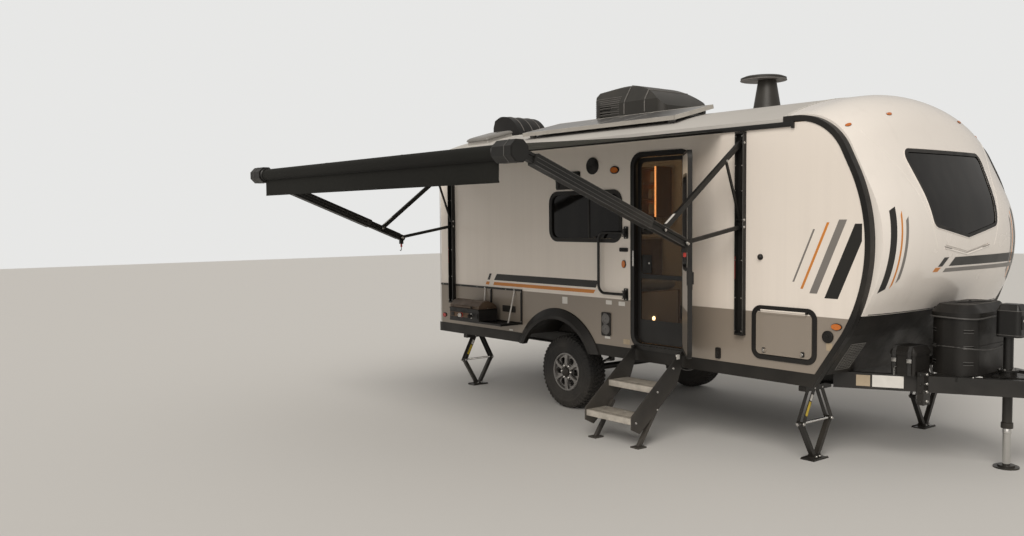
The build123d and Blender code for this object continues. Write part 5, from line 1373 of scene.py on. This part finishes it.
def roof_seals(piece):
    """Beads of sealant, lap strips with their screws, and the aerial's rim."""
    beads = (
        # middle x, y, half sizes, radius at the corners
        (0.20, 0.0, 0.515, 0.365, 0.11),
        (-1.66, -0.205, 0.255, 0.230, 0.03),
        (-1.56, -0.73, 0.200, 0.200, 0.03),
    )
    for x, y, half_x, half_y, corner in beads:
        outline = dense(rect((x - half_x, x + half_x), (y - half_y, y + half_y), corner, 4), 0.05)
        piece.tube([(a, b, crown(b) + 0.002) for a, b in outline], 0.007, "sealant", loop=True)
    ring = [(x, y, crown(0.128) + 0.004) for x, y in oval(1.64, 0.0, 0.128, 0.128, 40)]
    piece.tube(ring, 0.006, "sealant", loop=True)
    strip = ((-0.022, 0.0), (-0.018, 0.003), (0.012, 0.003), (0.014, 0.0))
    for x in (2.585, -1.985):
        across = [0.055 * k for k in range(-20, 21)]
        piece.skin([[(x + a, y, crown(y) + 0.0005 + up) for a, up in strip] for y in across], "sealant")
    for k in range(17):
        y = -1.04 + 0.13 * k
        piece.lathe(((0.002, 0.006), (0.0045, 0.004)), (2.582, y, crown(y)), "Z", STEEL, 8)
    piece.lathe(((0.006, 0.208), (0.010, 0.2085), (0.014, 0.205)), (1.60, 0.0, 3.13), "Z", "roof_edge", 48)


def vent_dome():
    """Smoked dome in place of the small vent's plain lid."""
    lid = Piece("roof_vent_dome")
    x, y = -1.56, -0.73
    tilt = Vector((0.460 * -y / WALL ** 2, 1.0)).normalized()
    outline = rect((-0.2, 0.2), (-0.2, 0.2), 0.04, 6)
    sections = (
        # share of the outline, height
        (1.0, 0.0412),
        (1.0, 0.050),
        (0.985, 0.058),
        (0.94, 0.067),
        (0.84, 0.0745),
        (0.66, 0.079),
        (0.42, 0.0808),
        (0.16, 0.081),
    )
    rings = []
    for share, up in sections:
        centre = Vector((x, y - up * tilt.x, crown(y) + up * tilt.y))
        rings.append([centre + Vector((a, b * tilt.y, b * tilt.x)) * share for a, b in outline])
    lid.skin(rings, "smoked")
    lid.done("roof_vent_lid", ("roof_vent_lid",), 40)


def roof_details():
    """Trim of the roof units and the solar panel, sealant, lap strips and the small vent's dome."""
    piece = Piece("roof_details")
    roof_unit_ribs(piece)
    solar_trim(piece)
    roof_seals(piece)
    piece.done()
    vent_dome()


# Rear
def rear_details():
    """Lamp bezels, blank plate, clearance lamps, stripes, bumper caps and spare wheel bolts."""
    piece = Piece("rear_details")

    def on_rear(y, z, out):
        return (REAR - out, y, z)

    def plate(outline, low, high, finish, round_by=0.0):
        piece.prism(outline, "X", REAR - low, REAR - high, finish, round_by)

    for hand in HANDS:
        y = hand * 0.93
        outer = rect((y - 0.083, y + 0.083), (0.947, 1.053), 0.026)
        inner = rect((y - 0.0755, y + 0.0755), (0.9545, 1.0455), 0.020)
        piece.border((outer, inner), 0.001, 0.0165, on_rear, PLASTIC)
        plate(rect((y - 0.0324, y + 0.0324), (0.972, 1.028), 0.012), 0.0195, 0.0215, "label_white", 0.0008)
        cap_y = hand * 1.0035
        piece.box((-2.2025, -2.0975), (cap_y - 0.0035, cap_y + 0.0035), (0.588, 0.692), PLASTIC, 0.002)
    for y in (-0.98, -0.16, 0.0, 0.16, 0.98):
        z = crown(y) - 0.10
        plate(rect((y - 0.034, y + 0.034), (z - 0.011, z + 0.011), 0.010), 0.0, 0.016, "red_lens", 0.003)
        plate(rect((y - 0.040, y + 0.040), (z - 0.016, z + 0.016), 0.014), 0.0, 0.006, PLASTIC, 0.001)
    plate(rect((0.44, 0.74), (0.86, 1.01), 0.012), 0.0, 0.004, PLASTIC, 0.001)
    plate(rect((0.445, 0.735), (0.865, 1.005), 0.010), 0.004, 0.0055, "label_white", 0.0004)
    piece.box((REAR - 0.022, REAR), (0.55, 0.63), (1.014, 1.030), PLASTIC, 0.003)
    for hand in HANDS:
        for corners, finish in (
            (((1.06, 1.240), (0.52, 1.240), (0.55, 1.308), (1.06, 1.308)), "decal_black"),
            (((1.06, 1.186), (0.54, 1.186), (0.55, 1.220), (1.06, 1.220)), "decal_orange"),
        ):
            plate([(hand * y, z) for y, z in corners], -0.0003, 0.0007, finish)
    gaskets(piece, (-0.45, 0.45), (1.72, 2.13), 0.004, on_rear)
    for hand in HANDS:
        side = (hand * WALL - 0.012, hand * WALL + 0.006 * hand)
        piece.box((REAR - 0.006, REAR + 0.002), side, (0.72, 2.60), "corner_trim", 0.002)
    piece.lathe(((-0.006, 0.050), (-0.022, 0.046), (-0.030, 0.020)), (-2.188, 0.0, SPARE_Z), "X", PLASTIC, 28)
    for y, z in oval(0.0, SPARE_Z, 0.07, 0.07, 5, math.pi / 2):
        piece.bolt((-2.204, y, z), "X", -1, 0.011)
    piece.done()


# Rooms
def stuffed(name, low, high, corner, puff, finish, cell):
    """Cushion from a rounded block that is blown up a little by a cloth simulation."""
    shape = Piece(name)
    inner_low, inner_high = Vector(low) + Vector((puff,) * 3), Vector(high) - Vector((puff,) * 3)
    outline = rect((inner_low.x, inner_high.x), (inner_low.y, inner_high.y), corner)
    centre = (inner_low.xy + inner_high.xy) / 2
    bottom, top = inner_low.z, inner_high.z
    soft = min(0.02, (top - bottom) * 0.3)
    rings = []
    for z, inset in ((bottom, soft), (bottom + soft, 0.0), (top - soft, 0.0), (top, soft)):
        spots = [Vector(spot) for spot in outline]
        rings.append([(*(spot - (spot - centre).normalized() * inset), z) for spot in spots])
    shape.skin(rings, finish)
    piece = shape.done(angle=180)
    remesh = piece.modifiers.new("cells", "REMESH")
    remesh.mode = "VOXEL"
    remesh.voxel_size = cell
    apply_modifier(piece)
    blow_up(piece, puff, at(0, 0, low[2]).z)
    smooth = piece.modifiers.new("smooth", "SUBSURF")
    smooth.levels = smooth.render_levels = 1
    apply_modifier(piece)
    for face in piece.data.polygons:
        face.use_smooth = True
    return piece


def blow_up(piece, most, floor):
    """Swell a mesh by simulated cloth under pressure, no point by more than a distance or below a floor."""
    start = [vertex.co.copy() for vertex in piece.data.vertices]
    cloth = piece.modifiers.new("cloth", "CLOTH")
    cloth.settings.use_pressure = True
    cloth.settings.uniform_pressure_force = 4.0
    cloth.settings.effector_weights.gravity = 0.0
    cloth.settings.quality = 5
    for number in range(1, 21):
        bpy.context.scene.frame_set(number)
    apply_modifier(piece)
    for vertex, first in zip(piece.data.vertices, start):
        move = vertex.co - first
        if move.length > most:
            vertex.co = first + move.normalized() * most
    bpy.context.scene.frame_set(1)
    for vertex in piece.data.vertices:
        vertex.co.z = max(vertex.co.z, floor)


def apply_modifier(piece):
    """Put the evaluated mesh in place of the piece's own."""
    view = bpy.context.evaluated_depsgraph_get()
    made = bpy.data.meshes.new_from_object(piece.evaluated_get(view))
    piece.modifiers.clear()
    old = piece.data
    piece.data = made
    made.name = piece.name
    bpy.data.meshes.remove(old)


def soft_goods():
    """Mattress, pillows and dinette cushions."""
    low, high = (2.085, -1.0, 1.231), (3.045, 1.0, 1.360)
    bed = stuffed("bed_mattress", low, high, 0.055, 0.012, "mattress_cloth", 0.024)
    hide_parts("mattress")
    for k, y in enumerate((-0.45, 0.45)):
        low, high = (2.58, y - 0.33, 1.362), (3.00, y + 0.33, 1.470)
        pillow = stuffed("pillow_%d" % k, low, high, 0.06, 0.022, "pillow_white", 0.018)
    for name, near, far in (("dinette_seat_a", 0.605, 0.858), ("dinette_seat_b", -0.858, -0.605)):
        low, high = (near, -1.068, 1.202), (far, -0.304, 1.300)
        cushion = stuffed(name, low, high, 0.03, 0.012, "cushion_grey", 0.016)


def cupboard(piece, axis, across, up, face, finish, half, reach, drop):
    """Door or drawer front with a bow handle of a half width, a reach and a drop from the top."""
    piece.prism(rect(across, up, 0.006), axis, face[0], face[1], finish, 0.003)
    middle, z = (across[0] + across[1]) / 2, up[1] - drop
    near, far = face[1] + 0.001, face[1] - reach
    bow = ((near, -half), (far, -half), (far, half), (near, half))
    piece.tube([PLACE[axis](depth, middle + side, z) for depth, side in bow], 0.004, STEEL)


def room_details():
    """Doors, drawers, shelves, jars and lamps of the cupboards."""
    piece = Piece("room_fittings")
    for x, z, finish in (
        ((0.915, 1.193), (0.80, 1.275), "room_panel"),
        ((1.207, 1.485), (0.80, 1.275), "room_panel"),
        ((0.915, 1.485), (1.73, 2.10), "cabinet_wood"),
        ((0.915, 1.485), (2.12, 2.53), "cabinet_wood"),
    ):
        cupboard(piece, "Y", x, z, (0.559, 0.544), finish, 0.06, 0.019, 0.04)
    for x in ((-1.49, -1.20), (-1.19, -0.90), (-0.89, -0.61)):
        for z in ((0.80, 1.30), (1.32, 1.60)):
            cupboard(piece, "Y", x, z, (0.499, 0.484), "cabinet_wood", 0.05, 0.018, 0.04)
    for y in ((-1.02, -0.52), (-0.48, 0.02), (0.06, 0.53)):
        cupboard(piece, "X", y, (0.80, 1.18), (2.0595, 2.046), "cabinet_wood", 0.06, 0.016, 0.05)
    shelves = []
    for z in (1.92, 2.10, 2.28, 2.45):
        shelves.append(((-0.66, -0.46), (0.80, 1.068), (z, z + 0.014), "cabinet_wood", 0.002))
    for x in (-0.674, -0.460):
        shelves.append(((x, x + 0.014), (0.80, 1.068), (1.90, 2.48), "cabinet_wood", 0.002))
    for x in ((0.8605, 0.8685), (-0.6005, -0.5925), (0.5915, 0.5995), (-0.8685, -0.8605)):
        shelves.append((x, (-1.066, -0.306), (0.768, 1.192), "room_panel", 0.003))
    for x, y, z, finish, round_by in (
        # worktops, lit shelf, lamps, dinette's end
        ((-1.52, -0.58), (0.470, 1.070), (1.6405, 1.668), "room_panel", 0.004),
        ((-0.27, 0.27), (-1.070, -0.380), (1.4655, 1.472), "room_panel", 0.002),
        ((0.925, 1.475), (0.560, 1.045), (1.492, 1.504), "cabinet_wood", 0.002),
        ((0.935, 1.465), (1.035, 1.047), (1.31, 1.69), "shelf_glow", 0.0),
        ((0.93, 1.47), (0.575, 0.590), (1.684, 1.697), "lamp_glow", 0.002),
        ((-0.66, -0.46), (1.064, 1.070), (1.93, 2.45), "shelf_glow", 0.0),
        ((-0.462, -0.444), (0.788, 0.800), (1.90, 2.48), "shelf_glow", 0.003),
        ((0.8605, 0.874), (-0.330, -0.300), (0.762, 1.200), "cabinet_wood", 0.003),
        *shelves,
    ):
        piece.box(x, y, z, finish, round_by)
    jar = (
        *((0.0, 0.030), (0.004, 0.034), (0.085, 0.034), (0.100, 0.026)),
        *((0.104, 0.028), (0.120, 0.028), (0.122, 0.024)),
    )
    for y, shelf, jars in (
        # y, height, then x and size of each jar
        (0.66, 1.300, ((1.00, 1.1), (1.10, 0.9), (1.22, 1.2), (1.36, 1.0))),
        (0.66, 1.504, ((1.03, 0.9), (1.17, 1.1), (1.30, 0.85), (1.40, 1.15))),
        (0.90, 1.934, ((-0.61, 1.0), (-0.53, 1.2))),
        (0.90, 2.114, ((-0.62, 0.9), (-0.54, 1.05))),
        (0.90, 2.294, ((-0.58, 1.1), (-0.50, 0.8))),
    ):
        for x, grow in jars:
            profile = [(up * grow, radius * grow) for up, radius in jar]
            piece.lathe(profile, (x, y, shelf), "Z", "label_tan", 20)
    for y in (-0.95, -0.68):
        piece.lathe(((0.0, 0.020), (0.010, 0.020), (0.014, 0.015)), (0.868, y, 0.945), "X", "lamp_glow")
        piece.lathe(((0.0, 0.026), (0.006, 0.026), (0.007, 0.021)), (0.868, y, 0.945), "X", STEEL)
    shade = ((0.0, 0.080), (-0.010, 0.078), (-0.020, 0.060), (-0.022, 0.02))
    for x in (1.35, -0.2, 2.5):
        piece.lathe(shade, (x, 0.0, 2.58), "Z", "lamp_glow", 32)
        piece.lathe(((0.004, 0.090), (-0.008, 0.090), (-0.010, 0.083)), (x, 0.0, 2.58), "Z", "white_trim", 32)
    piece.done()


# All pieces
tyre("tyre_right_tread", "tyre_right", "wheel_right", "Y", (0.0, -0.905, HUB_Z))
tyre("tyre_left_tread", "tyre_left", "wheel_left", "Y", (0.0, 0.905, HUB_Z))
tyre("spare_tyre_tread", "spare_tyre", "root", "X", (-2.172, 0.0, SPARE_Z))
wheel_details("wheel_right_details", "wheel_right", "Y", (0.0, -1.003, HUB_Z), -1)
wheel_details("wheel_left_details", "wheel_left", "Y", (0.0, 1.003, HUB_Z), 1)
wheel_details("spare_wheel_details", "root", "X", (-2.204, 0.0, SPARE_Z), -1)
awning()
graphics()
labels()
cap_details()
guard_details()
wall_details()
door_details()
baggage_details()
awning_details()
griddle_details()
lid_details()
rack_details()
drawbar_details()
step_details()
leg_details()
roof_details()
rear_details()
soft_goods()
room_details()


# Floor, sky and lamps
def make_stage():
    size, ground = 40.0, -BALL.z
    mesh = bpy.data.meshes.new("floor")
    mesh.from_pydata([(size * a, size * b, ground) for a, b in SQUARE], [], [(0, 1, 2, 3)])
    show("floor", mesh)
    mesh.materials.append(Graph("stage_floor", (0.62, 0.61, 0.59), 0.9).material)


def make_world():
    """Warm light from all round, which the camera sees as plain grey."""
    world = bpy.data.worlds.new("studio")
    bpy.context.scene.world = world
    world.use_nodes = True
    nodes, links = world.node_tree.nodes, world.node_tree.links
    nodes.clear()
    choose = nodes.new("ShaderNodeMixShader")
    links.new(nodes.new("ShaderNodeLightPath").outputs["Is Camera Ray"], choose.inputs[0])
    for socket, colour, strength in ((1, (1.0, 0.965, 0.92), 0.48), (2, (0.80, 0.80, 0.79), 1.0)):
        sky = nodes.new("ShaderNodeBackground")
        sky.inputs["Color"].default_value = (*colour, 1)
        sky.inputs["Strength"].default_value = strength
        links.new(sky.outputs[0], choose.inputs[socket])
    links.new(choose.outputs[0], nodes.new("ShaderNodeOutputWorld").inputs[0])


def make_lamp(name, kind, place, target, energy, colour, size):
    data = bpy.data.lights.new(name, kind)
    data.energy = energy
    data.color = colour
    setattr(data, "angle" if kind == "SUN" else "shadow_soft_size", size)
    lamp = show(name, data)
    lamp.location = place
    lamp.rotation_mode = "QUATERNION"
    lamp.rotation_quaternion = (Vector(target) - Vector(place)).to_track_quat("-Z", "Y")


make_stage()
make_world()
make_lamp("key", "SUN", (6, -9, 9), (0, 0, 0), 1.65, (1.0, 0.95, 0.88), math.radians(35))
make_lamp("fill", "SUN", (2, -10, 3), (-4, 0, 0), 0.75, (1.0, 0.93, 0.86), math.radians(60))
make_lamp("cabin", "POINT", at(1.35, 0.1, 2.35), at(1.35, 0.1, 0.0), 9.0, (1.0, 0.72, 0.42), 0.15)
make_lamp("cabin_rear", "POINT", at(-0.6, 0.0, 2.35), at(-0.6, 0.0, 0.0), 6.0, (1.0, 0.72, 0.42), 0.15)

view = bpy.context.scene.view_settings
view.view_transform = "Standard"
